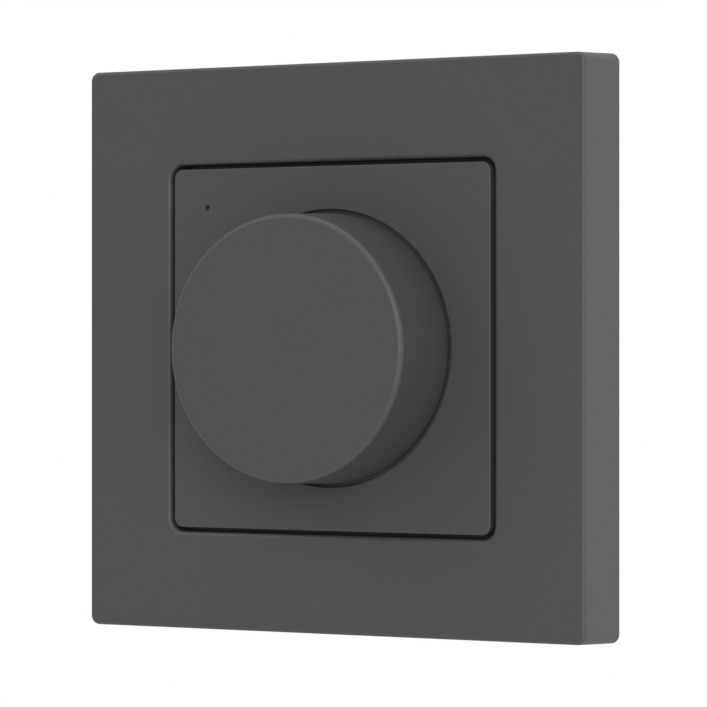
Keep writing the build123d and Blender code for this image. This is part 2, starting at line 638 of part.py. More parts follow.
# The housing: cup, cover and the two screws that clamp both to the ring
def housing_cup():
    """The deep cup in the wall box, with board rests, vents and a notch for the terminals."""
    cup = rounded(CUP_SIZE, CUP_SIZE, CUP_CORNER_R, CUP_BACK_Z, CUP_FLANGE_Z)
    cup = fillet(edges_at(cup, CUP_BACK_Z), CUP_EDGE_R)
    cup += rounded(COVER_SIZE, COVER_SIZE, COVER_CORNER_R, RING_T, CUP_FLANGE_Z)
    cup -= rounded(CUP_INNER, CUP_INNER, CUP_INNER_R, CUP_FLOOR_Z, CUP_FLANGE_Z)
    rest_x = CUP_INNER / 2 - BOARD_RIB_REACH / 2
    for side in (-1, 1):
        for y in (-BOARD_RIB_SPACING / 2, BOARD_RIB_SPACING / 2):
            cup += block(BOARD_RIB_REACH, BOARD_RIB_WIDTH, CUP_FLOOR_Z, CONTROL_BACK_Z, x=side * rest_x, y=y)
        for y in (-POST_TOP_Y, POST_TOP_Y):
            cup += rod(POST_R, CUP_FLOOR_Z, POWER_BACK_Z, side * POST_X, y)
        cup -= rod(SCREW_R + SCREW_HOLE_GAP, 0, CUP_FLANGE_Z, side * SCREW_AT, side * SCREW_AT)
    notch = POLE_COUNT * POLE_PITCH + 2 * POLE_CUTOUT_GAP
    notch_top = POLE_TOP_Y + POLE_CUTOUT_GAP
    notch_front = POWER_BACK_Z + POLE_CUTOUT_GAP
    notch_y = (notch_top + POLE_BOTTOM_Y) / 2
    cup -= block(notch, notch_top - POLE_BOTTOM_Y, CUP_BACK_Z, notch_front, y=notch_y)
    for i in range(VENT_COUNT):
        x = (i - (VENT_COUNT - 1) / 2) * VENT_PITCH
        cup -= slot(VENT_LENGTH, VENT_WIDTH, 90, CUP_BACK_Z, CUP_FLOOR_Z, x, VENT_Y)
    return cup - guide_rod(GUIDE_R + GUIDE_GAP)


def housing_cover():
    """The shallow front shell over the control board, with a screw post in two corners."""
    cover = rounded(COVER_SIZE, COVER_SIZE, COVER_CORNER_R, CUP_FLANGE_Z, COVER_FRONT_Z)
    inside = COVER_SIZE - 2 * COVER_T
    hollow = rounded(inside, inside, COVER_CORNER_R - COVER_T, CUP_FLANGE_Z, COVER_BACK_Z)
    for side in (-1, 1):
        hollow -= rod(COVER_POST_R, CUP_FLANGE_Z, COVER_BACK_Z, side * SCREW_AT, side * SCREW_AT)
    cover -= hollow
    for side in (-1, 1):
        x = side * SCREW_AT
        cover -= rod(SCREW_R + SCREW_HOLE_GAP, CUP_FLANGE_Z, SCREW_SEAT_Z, x, x)
        cover -= rod(SCREW_HEAD_R + SCREW_HOLE_GAP, SCREW_SEAT_Z, COVER_FRONT_Z, x, x)
    cover -= rod(BUSH_R + BUSH_HOLE_GAP, COVER_BACK_Z, COVER_FRONT_Z)
    return cover - guide_rod(GUIDE_R + GUIDE_GAP)


def housing_screws():
    """The two slotted screws through cover and cup into the ring."""
    screw = rod(SCREW_R, 0, SCREW_SEAT_Z) + rod(SCREW_HEAD_R, SCREW_SEAT_Z, SCREW_SEAT_Z + SCREW_HEAD_T)
    head_z = SCREW_SEAT_Z + SCREW_HEAD_T
    screw -= block(2 * SCREW_HEAD_R, SCREW_SLOT_WIDTH, head_z - SCREW_SLOT_DEPTH, head_z)
    return Part() + [Pos(side * SCREW_AT, side * SCREW_AT, 0) * screw for side in (-1, 1)]


# The control board, with the encoder, chip and indicator on its front
def control_board():
    """The front circuit board, drilled for the encoder's pins and lugs and the header."""
    board = rounded(CONTROL_SIZE, CONTROL_SIZE, CUP_INNER_R, CONTROL_BACK_Z, CONTROL_FRONT_Z)
    hole_r = math.hypot(PIN_WIDTH, PIN_T) / 2 + PIN_HOLE_GAP
    for xs, side in ((PIN_XS, -1), (SWITCH_PIN_XS, 1)):
        for x in xs:
            board -= rod(hole_r, CONTROL_BACK_Z, CONTROL_FRONT_Z, x, side * PIN_Y)
    for side in (-1, 1):
        board -= block(
            BRACKET_T + 2 * PIN_HOLE_GAP, BRACKET_LUG_WIDTH + 2 * PIN_HOLE_GAP,
            CONTROL_BACK_Z, CONTROL_FRONT_Z, x=side * (ENCODER_WIDTH + BRACKET_T) / 2,
        )
    return board - header_holes(CONTROL_BACK_Z, CONTROL_FRONT_Z)


def header_ys():
    """Where the header's pins stand along the boards."""
    return [(i - (HEADER_PINS - 1) / 2) * HEADER_PITCH for i in range(HEADER_PINS)]


def header_holes(low, high):
    """The holes for the header's pins in either board."""
    radius = HEADER_PIN * math.sqrt(2) / 2 + PIN_HOLE_GAP
    return Part() + [rod(radius, low, high, HEADER_X, y) for y in header_ys()]


def board_header():
    """The pin strip that joins the two boards."""
    length = HEADER_PINS * HEADER_PITCH
    strip = block(HEADER_STRIP, length, POWER_FRONT_Z, POWER_FRONT_Z + HEADER_STRIP, x=HEADER_X)
    low = POWER_BACK_Z - PIN_TAIL
    high = CONTROL_FRONT_Z + PIN_TAIL
    for y in header_ys():
        strip += block(HEADER_PIN, HEADER_PIN, low, high, HEADER_X, y)
    return strip


def control_chip():
    """The controller that reads the encoder and sets the phase angle."""
    return block(CHIP_SIZE, CHIP_SIZE, CONTROL_FRONT_Z, CONTROL_FRONT_Z + CHIP_T, -CHIP_AT, -CHIP_AT)


def indicator_led():
    """The small indicator lamp at the corner of the control board."""
    return block(LED_LENGTH, LED_WIDTH, CONTROL_FRONT_Z, CONTROL_FRONT_Z + LED_T, LED_X, LED_Y)


def guide_rod(radius):
    """A cranked rod from the indicator lamp to the pinhole, for the guide and the way cut for it."""
    foot_z = CONTROL_FRONT_Z + LED_T + LED_GAP
    head_z = PLATE_FRONT_Z - PINHOLE_WALL
    route = FilletPolyline(
        (LED_X, LED_Y, foot_z),
        (LED_X, LED_Y, foot_z + GUIDE_BEND_R),
        (PINHOLE_X, PINHOLE_Y, head_z - GUIDE_HEAD),
        (PINHOLE_X, PINHOLE_Y, head_z),
        radius=GUIDE_BEND_R,
    )
    return sweep(Pos(LED_X, LED_Y, foot_z) * Circle(radius), path=route)


def light_guide():
    """The clear cranked rod that carries the indicator's light to the pinhole."""
    return guide_rod(GUIDE_R)


# The power board, with filter parts on its front and the transistors on its back
def power_board():
    """The rear circuit board, drilled for the header and the terminals' tails."""
    board = rounded(POWER_WIDTH, CONTROL_SIZE, CUP_INNER_R, POWER_BACK_Z, POWER_FRONT_Z)
    tail_r = math.hypot(CAGE_TAIL_WIDTH, CAGE_TAIL_T) / 2 + PIN_HOLE_GAP
    for x in POLE_XS:
        board -= rod(tail_r, POWER_BACK_Z, POWER_FRONT_Z, x, CAVITY_Y)
    return board - header_holes(POWER_BACK_Z, POWER_FRONT_Z)


def smoothing_capacitor():
    """The round capacitor lying on the power board, with the crimp of its can."""
    can = Cylinder(CAPACITOR_R, CAPACITOR_LENGTH)
    crimp_z = CAPACITOR_LENGTH / 2 - CAPACITOR_CRIMP_AT
    can -= Pos(0, 0, crimp_z) * Torus(CAPACITOR_R, CAPACITOR_CRIMP)
    return Pos(CAPACITOR_X, CAPACITOR_Y, POWER_FRONT_Z + CAPACITOR_R) * Rot(0, 90, 0) * can


def film_capacitor():
    """The boxed interference capacitor at the top of the power board."""
    box = block(FILM_WIDTH, FILM_HEIGHT, POWER_FRONT_Z, POWER_FRONT_Z + FILM_T, y=FILM_Y)
    return fillet(edges_at(box, POWER_FRONT_Z + FILM_T), FILM_EDGE_R)


def filter_choke():
    """The drum core of the interference choke, wound between two lips."""
    top = POWER_FRONT_Z + CHOKE_T
    return (
        rod(CHOKE_R, POWER_FRONT_Z, POWER_FRONT_Z + CHOKE_LIP_T, CHOKE_X, CHOKE_Y)
        + rod(CHOKE_CORE_R, POWER_FRONT_Z, top, CHOKE_X, CHOKE_Y)
        + rod(CHOKE_R, top - CHOKE_LIP_T, top, CHOKE_X, CHOKE_Y)
    )


def choke_winding():
    """The copper winding on the drum core."""
    low = POWER_FRONT_Z + CHOKE_LIP_T
    high = POWER_FRONT_Z + CHOKE_T - CHOKE_LIP_T
    radius = CHOKE_R - CAPACITOR_CRIMP
    return rod(radius, low, high, CHOKE_X, CHOKE_Y) - rod(CHOKE_CORE_R, low, high, CHOKE_X, CHOKE_Y)


def fuse():
    """The round plug-in fuse."""
    body = rod(FUSE_R, POWER_FRONT_Z, POWER_FRONT_Z + FUSE_T, FUSE_X, FUSE_Y)
    return fillet(edges_at(body, POWER_FRONT_Z + FUSE_T), FUSE_EDGE_R)


def transistor_pair(make):
    """The same piece for both power transistors, left and right."""
    return Part() + [Pos(side * TRANSISTOR_X, TRANSISTOR_Y, 0) * make() for side in (-1, 1)]


def power_transistor():
    """One power transistor: a moulded body with its metal tab."""
    body = block(TRANSISTOR_WIDTH, TRANSISTOR_HEIGHT, TRANSISTOR_BACK_Z, POWER_BACK_Z)
    tab_y = (TRANSISTOR_HEIGHT + TRANSISTOR_TAB) / 2
    return body + block(
        TRANSISTOR_WIDTH, TRANSISTOR_TAB, POWER_BACK_Z - TRANSISTOR_TAB_T, POWER_BACK_Z, y=tab_y
    )


def thermal_pad():
    """One soft pad between a transistor and the heat spreader."""
    width = TRANSISTOR_WIDTH - 2 * PAD_MARGIN
    height = TRANSISTOR_HEIGHT - 2 * PAD_MARGIN
    return block(width, height, SPREADER_FRONT_Z, TRANSISTOR_BACK_Z)


def heat_spreader():
    """The aluminium plate behind the transistors."""
    return block(SPREADER_WIDTH, SPREADER_HEIGHT, SPREADER_BACK_Z, SPREADER_FRONT_Z, y=TRANSISTOR_Y)


# The terminals: moulded poles in a row, each with a brass cage and a clamp screw
def terminal_pole():
    """One moulded pole: a wire hole from below, a cavity for the cage and a way in for a screwdriver."""
    width = POLE_PITCH - POLE_JOINT_GAP
    pole_y = (POLE_BOTTOM_Y + POLE_TOP_Y) / 2
    pole = block(width, POLE_DEPTH, POLE_BACK_Z, POWER_BACK_Z, y=pole_y)
    pole -= block(POLE_CAVITY_WIDTH, POLE_CAVITY_DEPTH, CAVITY_BACK_Z, POWER_BACK_Z, y=CAVITY_Y)
    wire_hole = Rot(90, 0, 0) * Cylinder(WIRE_HOLE_R, WIRE_HOLE_LENGTH)
    pole -= Pos(0, POLE_BOTTOM_Y + WIRE_HOLE_LENGTH / 2, WIRE_HOLE_Z) * wire_hole
    return pole - rod(CLAMP_HEAD_R + CLAMP_HOLE_GAP, POLE_BACK_Z, CAVITY_BACK_Z, y=CAVITY_Y)


def terminal_cage():
    """One brass cage: a square tube across the wire, a thick back for the screw and a solder tail."""
    width = POLE_CAVITY_WIDTH - 2 * CAGE_GAP
    depth = POLE_CAVITY_DEPTH - 2 * CAGE_GAP
    back = CAVITY_BACK_Z + CAGE_GAP
    cage = block(width, depth, back, POWER_BACK_Z, y=CAVITY_Y)
    cage -= block(width - 2 * CAGE_WALL, depth, back + CAGE_NUT_T, POWER_BACK_Z - CAGE_WALL, y=CAVITY_Y)
    cage -= rod(CLAMP_SCREW_R + CLAMP_THREAD_GAP, back, back + CAGE_NUT_T, y=CAVITY_Y)
    return cage + block(CAGE_TAIL_WIDTH, CAGE_TAIL_T, POWER_BACK_Z, POWER_FRONT_Z + PIN_TAIL, y=CAVITY_Y)


def clamp_screw():
    """One slotted clamp screw, backed out to leave room for a wire."""
    seat = CAVITY_BACK_Z + CAGE_GAP
    head = seat - CLAMP_HEAD_T
    screw = rod(CLAMP_SCREW_R, seat, seat + CLAMP_SCREW_LENGTH, y=CAVITY_Y)
    screw += rod(CLAMP_HEAD_R, head, seat, y=CAVITY_Y)
    return screw - block(2 * CLAMP_HEAD_R, SCREW_SLOT_WIDTH, head, head + SCREW_SLOT_DEPTH, y=CAVITY_Y)


def pole_row(make):
    """The same piece for every pole in the row."""
    return Part() + [Pos(x, 0, 0) * make() for x in POLE_XS]


PIECES = {
    "cover_frame": cover_frame,
    "centre_plate": centre_plate,
    "fixing_washer": fixing_washer,
    "fixing_nut": fixing_nut,
    "knob": knob,
    "knob_spring": knob_spring,
    "encoder_shaft": encoder_shaft,
    "shaft_stop_ring": shaft_stop_ring,
    "encoder_bush": encoder_bush,
    "encoder_bracket": encoder_bracket,
    "encoder_case": encoder_case,
    "encoder_rotor": encoder_rotor,
    "rotor_contact": rotor_contact,
    "detent_leaf": detent_leaf,
    "encoder_wipers": encoder_wipers,
    "encoder_pins": encoder_pins,
    "switch_base": switch_base,
    "switch_plunger": switch_plunger,
    "switch_dome": switch_dome,
    "support_ring": support_ring,
    "housing_cup": housing_cup,
    "housing_cover": housing_cover,
    "housing_screws": housing_screws,
    "control_board": control_board,
    "control_chip": control_chip,
    "indicator_led": indicator_led,
    "light_guide": light_guide,
    "board_header": board_header,
    "power_board": power_board,
    "smoothing_capacitor": smoothing_capacitor,
    "film_capacitor": film_capacitor,
    "filter_choke": filter_choke,
    "choke_winding": choke_winding,
    "fuse": fuse,
    "power_transistors": lambda: transistor_pair(power_transistor),
    "thermal_pads": lambda: transistor_pair(thermal_pad),
    "heat_spreader": heat_spreader,
    "terminal_poles": lambda: pole_row(terminal_pole),
    "terminal_cages": lambda: pole_row(terminal_cage),
    "clamp_screws": lambda: pole_row(clamp_screw),
}

os.makedirs("parts", exist_ok=True)
upright = Rot(90, 0, 0)
for name, make in PIECES.items():
    export_step(upright * make(), f"parts/{name}.step")
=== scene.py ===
"""A rotary dimmer panel, dressed and lit: cover frame, centre plate, knob and the dimmer behind them.

Pieces are drawn in bench millimetres, X to the right, Y up the wall and Z out of the wall, with the
wall's surface at Z 0, and are stood upright in the frame's metres when their mesh is made.
"""

import json
import logging
import math
from collections.abc import Sequence
from dataclasses import dataclass
from enum import Enum

import bmesh
import bpy
from mathutils import Matrix, Vector

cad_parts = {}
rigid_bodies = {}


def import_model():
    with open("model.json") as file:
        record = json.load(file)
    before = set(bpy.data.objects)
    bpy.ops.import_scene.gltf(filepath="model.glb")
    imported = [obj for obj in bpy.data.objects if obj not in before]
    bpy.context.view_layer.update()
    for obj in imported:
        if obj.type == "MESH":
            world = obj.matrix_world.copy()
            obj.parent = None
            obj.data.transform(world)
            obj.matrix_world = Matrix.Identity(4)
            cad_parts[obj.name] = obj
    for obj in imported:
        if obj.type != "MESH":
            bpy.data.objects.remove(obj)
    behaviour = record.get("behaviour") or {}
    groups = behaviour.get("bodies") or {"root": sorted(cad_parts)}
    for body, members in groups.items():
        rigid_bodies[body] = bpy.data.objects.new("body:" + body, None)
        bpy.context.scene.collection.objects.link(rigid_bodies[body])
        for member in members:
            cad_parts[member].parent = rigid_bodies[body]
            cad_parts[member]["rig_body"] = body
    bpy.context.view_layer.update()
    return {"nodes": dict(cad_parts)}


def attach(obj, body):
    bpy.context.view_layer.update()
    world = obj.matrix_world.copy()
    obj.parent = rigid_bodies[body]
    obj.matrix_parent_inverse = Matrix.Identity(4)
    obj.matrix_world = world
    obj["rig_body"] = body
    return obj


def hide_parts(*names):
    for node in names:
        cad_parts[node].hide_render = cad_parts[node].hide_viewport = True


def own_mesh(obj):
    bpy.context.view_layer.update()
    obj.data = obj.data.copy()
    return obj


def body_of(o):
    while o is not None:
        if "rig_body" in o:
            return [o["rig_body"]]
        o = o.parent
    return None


LOG = logging.getLogger("dimmer_panel")
MM = 0.001
SAME_PLACE = 0.001 * MM
SHARP_EDGE = math.radians(32.0)
FLAT_EDGE = math.radians(0.5)
EDGE_ROUNDING = {"segments": 2, "profile": 0.5, "affect": "EDGES"}

# Levels and places that several pieces on the boards share, in bench millimetres.
CONTROL_FRONT, CONTROL_BACK = -1.3, -2.9
POWER_FRONT, POWER_BACK = -12.5, -14.1
HEADER_X = 15.6
PIN_PITCH = 2.54
TERMINAL_XS = (-11.25, -3.75, 3.75, 11.25)
TERMINAL_Y = -14.9

Spot = tuple[float, float]
Point = tuple[float, float, float]
Profile = list[Spot]
Nodes = dict[str, bpy.types.Object]
Tree = bpy.types.NodeTree
Socket = bpy.types.NodeSocket
Vert = bmesh.types.BMVert
Face = bmesh.types.BMFace


class Body(Enum):
    """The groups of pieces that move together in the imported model."""

    PANEL = "panel"
    ROTOR = "rotor"
    KNOB = "knob"
    SWITCH = "switch"


class Surface(Enum):
    """The kinds of pattern that a surface's making leaves in its colour, gloss and relief."""

    GRAINED = "moulded, rolled or sintered"
    SPANGLED = "hot-dip zinc"
    WOVEN = "glass cloth under lacquer"


def linear(colour: str) -> tuple[float, float, float, float]:
    """Turn an sRGB hex colour into Blender's linear values.

    Args:
        colour: The colour as #rrggbb.

    Returns:
        Linear red, green and blue, and an alpha of one.
    """
    parts = [int(colour[i : i + 2], 16) / 255 for i in (1, 3, 5)]
    flat = [c / 12.92 if c <= 0.04045 else ((c + 0.055) / 1.055) ** 2.4 for c in parts]
    return (flat[0], flat[1], flat[2], 1.0)


def per_metre(size_mm: float) -> float:
    """The texture scale at which one feature is this many millimetres wide."""
    return 1.0 / (size_mm * MM)


def add_node(
    tree: Tree,
    kind: str,
    settings: dict[str | int, object] | None = None,
    links: dict[str | int, Socket] | None = None,
) -> bpy.types.Node:
    """Add one node with its settings and incoming links.

    Args:
        tree: The node tree of a material or of the world.
        kind: Blender's name for the node.
        settings: Values by socket name or number, or by property name.
        links: Sockets to read from, by input name or number.

    Returns:
        The new node.
    """
    node = tree.nodes.new(kind)
    for key, value in (settings or {}).items():
        if isinstance(key, int) or key in node.inputs:
            node.inputs[key].default_value = value
        else:
            setattr(node, key, value)
    for key, source in (links or {}).items():
        tree.links.new(source, node.inputs[key])
    return node


# The colour sockets of Blender's mix node share their names with others, so they go by number.
MIX_SHARE, MIX_FIRST, MIX_SECOND, MIX_RESULT = 0, 6, 7, 2
COAT_ROUGHNESS = 0.1
GRAIN_NOISE = {"Detail": 3.0, "Roughness": 0.6}
MOTTLE_NOISE = {"Detail": 2.0}
WEAVE_DISTORTION = 0.6
# Blender's wave texture has about this many bands in one unit of its scale.
WAVE_BANDS = 3.2


@dataclass(frozen=True)
class Finish:
    """One real material with the surface that its making gave it."""

    name: str
    slot: str
    colour: str
    shade: str
    roughness: float
    roughness_spread: float
    grain_mm: float
    relief_mm: float
    mottle_mm: float
    surface: Surface = Surface.GRAINED
    stretch: float = 1.0
    metallic: float = 0.0
    ior: float | None = None
    coat: float = 0.0
    transmission: float = 0.0

    def material(self) -> bpy.types.Material:
        """The finish as a Blender material, made once and shared by its pieces."""
        made = bpy.data.materials.get(self.name)
        return made if made else self._make()

    def _make(self) -> bpy.types.Material:
        """Build the node tree.

        Returns:
            The new material.
        """
        material = bpy.data.materials.new(self.name)
        material.use_nodes = True
        tree = material.node_tree
        shader = tree.nodes["Principled BSDF"]
        constants = {
            "Metallic": self.metallic,
            "Coat Weight": self.coat,
            "Coat Roughness": COAT_ROUGHNESS,
            "Transmission Weight": self.transmission,
        }
        if self.ior is not None:
            constants["IOR"] = self.ior
        for socket, value in constants.items():
            shader.inputs[socket].default_value = value
        place = add_node(tree, "ShaderNodeTexCoord").outputs["Object"]
        grain = self._grain(tree, place)
        mottle = self._mottle(tree, place)
        tints = {"data_type": "RGBA", MIX_FIRST: linear(self.colour), MIX_SECOND: linear(self.shade)}
        colours = add_node(tree, "ShaderNodeMix", tints, {MIX_SHARE: mottle})
        low, high = self.roughness - self.roughness_spread, self.roughness + self.roughness_spread
        source = mottle if self.surface is Surface.SPANGLED else grain
        gloss = add_node(tree, "ShaderNodeMapRange", {"To Min": low, "To Max": high}, {"Value": source})
        relief = {"Strength": 1.0, "Distance": self.relief_mm * MM}
        bump = add_node(tree, "ShaderNodeBump", relief, {"Height": grain})
        tree.links.new(colours.outputs[MIX_RESULT], shader.inputs["Base Color"])
        tree.links.new(gloss.outputs["Result"], shader.inputs["Roughness"])
        tree.links.new(bump.outputs["Normal"], shader.inputs["Normal"])
        return material

    def _grain(self, tree: Tree, place: Socket) -> Socket:
        """The fine pattern that gives relief.

        Args:
            tree: The material's nodes.
            place: The position in metres.

        Returns:
            A height from nought to one.
        """
        scale = per_metre(self.grain_mm)
        if self.surface is Surface.WOVEN:
            wave = {"Scale": scale / WAVE_BANDS, "Distortion": WEAVE_DISTORTION}
            warp, weft = (
                add_node(tree, "ShaderNodeTexWave", {"bands_direction": axis, **wave}, {"Vector": place})
                for axis in ("X", "Z")
            )
            threads = {0: warp.outputs["Fac"], 1: weft.outputs["Fac"]}
            return add_node(tree, "ShaderNodeMath", {"operation": "MULTIPLY"}, threads).outputs[0]
        along = {"Scale": (1.0 / self.stretch, 1.0, 1.0)}
        drawn = add_node(tree, "ShaderNodeMapping", along, {"Vector": place}).outputs["Vector"]
        noise = {"Scale": scale, **GRAIN_NOISE}
        return add_node(tree, "ShaderNodeTexNoise", noise, {"Vector": drawn}).outputs["Fac"]

    def _mottle(self, tree: Tree, place: Socket) -> Socket:
        """The broad pattern that shifts the colour.

        Args:
            tree: The material's nodes.
            place: The position in metres.

        Returns:
            A share of the shade colour from nought to one.
        """
        scale = per_metre(self.mottle_mm)
        if self.surface is Surface.SPANGLED:
            cells = add_node(tree, "ShaderNodeTexVoronoi", {"Scale": scale}, {"Vector": place})
            tint = {"Color": cells.outputs["Color"]}
            return add_node(tree, "ShaderNodeSeparateColor", {}, tint).outputs["Red"]
        noise = {"Scale": scale, **MOTTLE_NOISE}
        return add_node(tree, "ShaderNodeTexNoise", noise, {"Vector": place}).outputs["Fac"]


# Each finish gives its name, slot, colour and shade, then roughness and its spread, and then grain,
# relief and mottle in millimetres.

# ASA moulded in spark-eroded steel: an even dark grey with a dry, very fine sheen.
# The real grit is about 0.05 mm; it is drawn at 0.22 mm so that it shows at all.
ANTHRACITE_ASA = Finish(
    "anthracite_asa_spark_eroded", "anthracite_plastic", "#3f4241", "#3d403f",
    0.5, 0.03, 0.22, 0.004, 12.0, ior=1.5,
)
# Polyamide with glass fibre, plain moulded: nearly black, a little glossier, with faint flow marks.
GLASS_FILLED_NYLON = Finish(
    "glass_filled_polyamide_moulded", "housing_plastic", "#323437", "#2b2d30",
    0.42, 0.08, 0.5, 0.01, 3.0, stretch=4.0, ior=1.53,
)
# PBT moulded: light grey, close to satin.
LIGHT_GREY_PBT = Finish(
    "light_grey_pbt_moulded", "terminal_plastic", "#c5c9c8", "#bcc0bf",
    0.45, 0.05, 0.3, 0.005, 5.0, ior=1.55,
)
# Black PBT of the encoder's case, the switch base, the pin strip and the fuse: satin, nearly black.
BLACK_PBT = Finish(
    "black_pbt_moulded", "encoder_plastic", "#262628", "#202022",
    0.42, 0.05, 0.25, 0.005, 4.0, ior=1.55,
)
# Epoxy moulding compound of chips and transistors: dead matt black with mineral specks.
EPOXY_COMPOUND = Finish(
    "epoxy_compound_transfer_moulded", "dark_moulding", "#1f1f21", "#29292b",
    0.6, 0.08, 0.15, 0.006, 0.3, ior=1.55,
)
# Black rubber of the capacitor's bung: dry, with a soft sheen.
BUNG_RUBBER = Finish(
    "butyl_rubber_moulded", "dark_moulding", "#1b1b1c", "#222223",
    0.68, 0.05, 0.3, 0.008, 1.0, ior=1.52,
)
# Natural acetal, moulded: milky and waxy.
NATURAL_ACETAL = Finish(
    "natural_acetal_moulded", "white_nylon", "#e5e2d8", "#dcd8cb",
    0.4, 0.04, 0.3, 0.004, 3.0, ior=1.48,
)
# Hot-dip galvanised sheet: flat zinc crystals, each with its own gloss.
GALVANISED_SHEET = Finish(
    "galvanised_steel_sheet_stamped", "zinc_steel", "#b4b8ba", "#9fa4a7",
    0.4, 0.1, 0.3, 0.004, 2.5, surface=Surface.SPANGLED, metallic=1.0,
)
# Bright zinc plate with a thin blue passivation.
ZINC_PLATE = Finish(
    "bright_zinc_plated_steel", "zinc_steel", "#c3c8cb", "#b9bec6",
    0.3, 0.06, 0.12, 0.003, 1.5, stretch=3.0, metallic=1.0,
)
# Zinc die casting, nickel plated: warm grey metal, slightly wavy.
NICKEL_DIE_CAST = Finish(
    "nickel_plated_zinc_die_cast", "die_cast", "#b9b5ac", "#ada99f",
    0.32, 0.06, 0.4, 0.005, 2.0, metallic=1.0,
)
# Hard-rolled spring strip and wire: bright, drawn along its length.
SPRING_STRIP = Finish(
    "stainless_spring_strip_rolled", "spring_steel", "#b3b1ad", "#a6a4a0",
    0.24, 0.05, 0.1, 0.002, 2.0, stretch=12.0, metallic=1.0,
)
# Stamped brass, bare, with a slight tarnish.
STAMPED_BRASS = Finish(
    "brass_strip_stamped", "brass", "#c8a35a", "#b08a46",
    0.33, 0.06, 0.15, 0.003, 1.5, stretch=6.0, metallic=1.0,
)
# Copper with a dipped tin coat: soft grey, uneven.
TINNED_COPPER = Finish(
    "copper_hot_dip_tinned", "tinned_copper", "#c2beb6", "#aeaaa2",
    0.36, 0.08, 0.3, 0.004, 1.0, metallic=1.0,
)
# Winding wire: copper under clear baked enamel.
ENAMELLED_COPPER = Finish(
    "copper_wire_enamelled", "copper_wire", "#b5682f", "#9c5424",
    0.3, 0.05, 0.2, 0.002, 1.0, stretch=8.0, metallic=1.0, coat=0.7,
)
# Aluminium sheet as it leaves the mill: fine rolling streaks.
MILL_ALUMINIUM = Finish(
    "aluminium_sheet_mill_finish", "aluminium", "#c9cacc", "#bdbec1",
    0.36, 0.07, 0.12, 0.003, 3.0, stretch=30.0, metallic=1.0,
)
# Glass-epoxy laminate under green solder lacquer: the weave shows faintly through the gloss.
SOLDER_LACQUER = Finish(
    "glass_epoxy_board_lacquered", "board", "#155235", "#0f4028",
    0.38, 0.06, 0.5, 0.004, 6.0, surface=Surface.WOVEN, ior=1.5, coat=0.5,
)
# The same lacquer where copper lies under it: lighter, and smooth as the foil below.
LACQUERED_COPPER = Finish(
    "copper_foil_lacquered", "board", "#23724b", "#1d6542",
    0.34, 0.05, 0.4, 0.003, 3.0, ior=1.5, coat=0.5,
)
# Tin solder that set from the melt: bright, a little crazed.
TIN_SOLDER = Finish(
    "tin_solder_flowed", "tinned_copper", "#cfcdc8", "#b7b5b0",
    0.22, 0.08, 0.25, 0.006, 0.6, metallic=1.0,
)
# PVC sleeve shrunk on an aluminium can: dark blue and glossy.
SHRINK_SLEEVE = Finish(
    "pvc_shrink_sleeve", "capacitor_can", "#1a1f3a", "#151930",
    0.26, 0.04, 0.6, 0.006, 3.0, ior=1.53, coat=0.3,
)
# The pale stripe that marks the can's negative side, in the same sleeve.
SLEEVE_STRIPE = Finish(
    "pvc_shrink_sleeve_stripe", "capacitor_can", "#8e9bb8", "#8693b0",
    0.28, 0.04, 0.6, 0.006, 3.0, ior=1.53, coat=0.3,
)
# Flame-proof PBT box of the film capacitor: mustard yellow.
YELLOW_PBT = Finish(
    "yellow_pbt_box_moulded", "film_box", "#cfa42e", "#c2982a",
    0.36, 0.04, 0.3, 0.005, 4.0, ior=1.55,
)
# Pressed ferrite: sintered, dull, almost black.
FERRITE = Finish(
    "ferrite_pressed_sintered", "ferrite", "#353331", "#2a2827",
    0.62, 0.1, 0.12, 0.01, 0.4, ior=1.9,
)
# Silicone filled with ceramic powder: soft, dry and grey-blue.
SILICONE_PAD = Finish(
    "filled_silicone_pad", "thermal_pad", "#8b98a4", "#7f8c98",
    0.75, 0.06, 0.2, 0.01, 1.0, ior=1.42,
)
# Clear resin over yellow phosphor: glossy, straw-coloured.
LED_RESIN = Finish(
    "led_phosphor_resin_cast", "led_resin", "#ece2a9", "#e3d792",
    0.3, 0.04, 0.2, 0.003, 0.5, ior=1.52, coat=0.6,
)
# Polished acrylic rod: clear, with a bright skin.
CLEAR_ACRYLIC = Finish(
    "clear_acrylic_moulded", "clear_acrylic", "#f2f5f5", "#eef2f2",
    0.06, 0.02, 1.0, 0.002, 3.0, ior=1.49, transmission=0.9,
)


def bench(x: float, y: float, z: float) -> Vector:
    """A bench point in millimetres as a point of the upright frame in metres."""
    return Vector((x, -z, y)) * MM


def arc(centre: Spot, radius: float, start: float, end: float, steps: int) -> Profile:
    """Points along a circular arc in a section.

    Args:
        centre: The arc's centre.
        radius: Its radius in millimetres.
        start: The first angle in degrees.
        end: The last angle in degrees.
        steps: How many chords it has.

    Returns:
        The points in order, both ends included.
    """
    angles = [math.radians(start + (end - start) * i / steps) for i in range(steps + 1)]
    return [(centre[0] + radius * math.cos(a), centre[1] + radius * math.sin(a)) for a in angles]


def lift(outline: Sequence[Sequence[float]], *levels: float) -> list[list[Point]]:
    """One flat outline repeated at each of the levels."""
    return [[(x, y, z) for x, y in outline] for z in levels]


def rounded_square(half: float, corner: float, z: float, steps: int) -> list[Point]:
    """A square outline with round corners, anticlockwise as seen from the room.

    Args:
        half: Half its width in millimetres.
        corner: The radius of its corners.
        z: Its level.
        steps: Chords in each corner.

    Returns:
        The outline's points.
    """
    reach = half - corner
    flat: Profile = []
    for quarter, (sx, sy) in enumerate(((1, 1), (-1, 1), (-1, -1), (1, -1))):
        flat += arc((sx * reach, sy * reach), corner, 90 * quarter, 90 * (quarter + 1), steps)
    return lift(flat, z)[0]


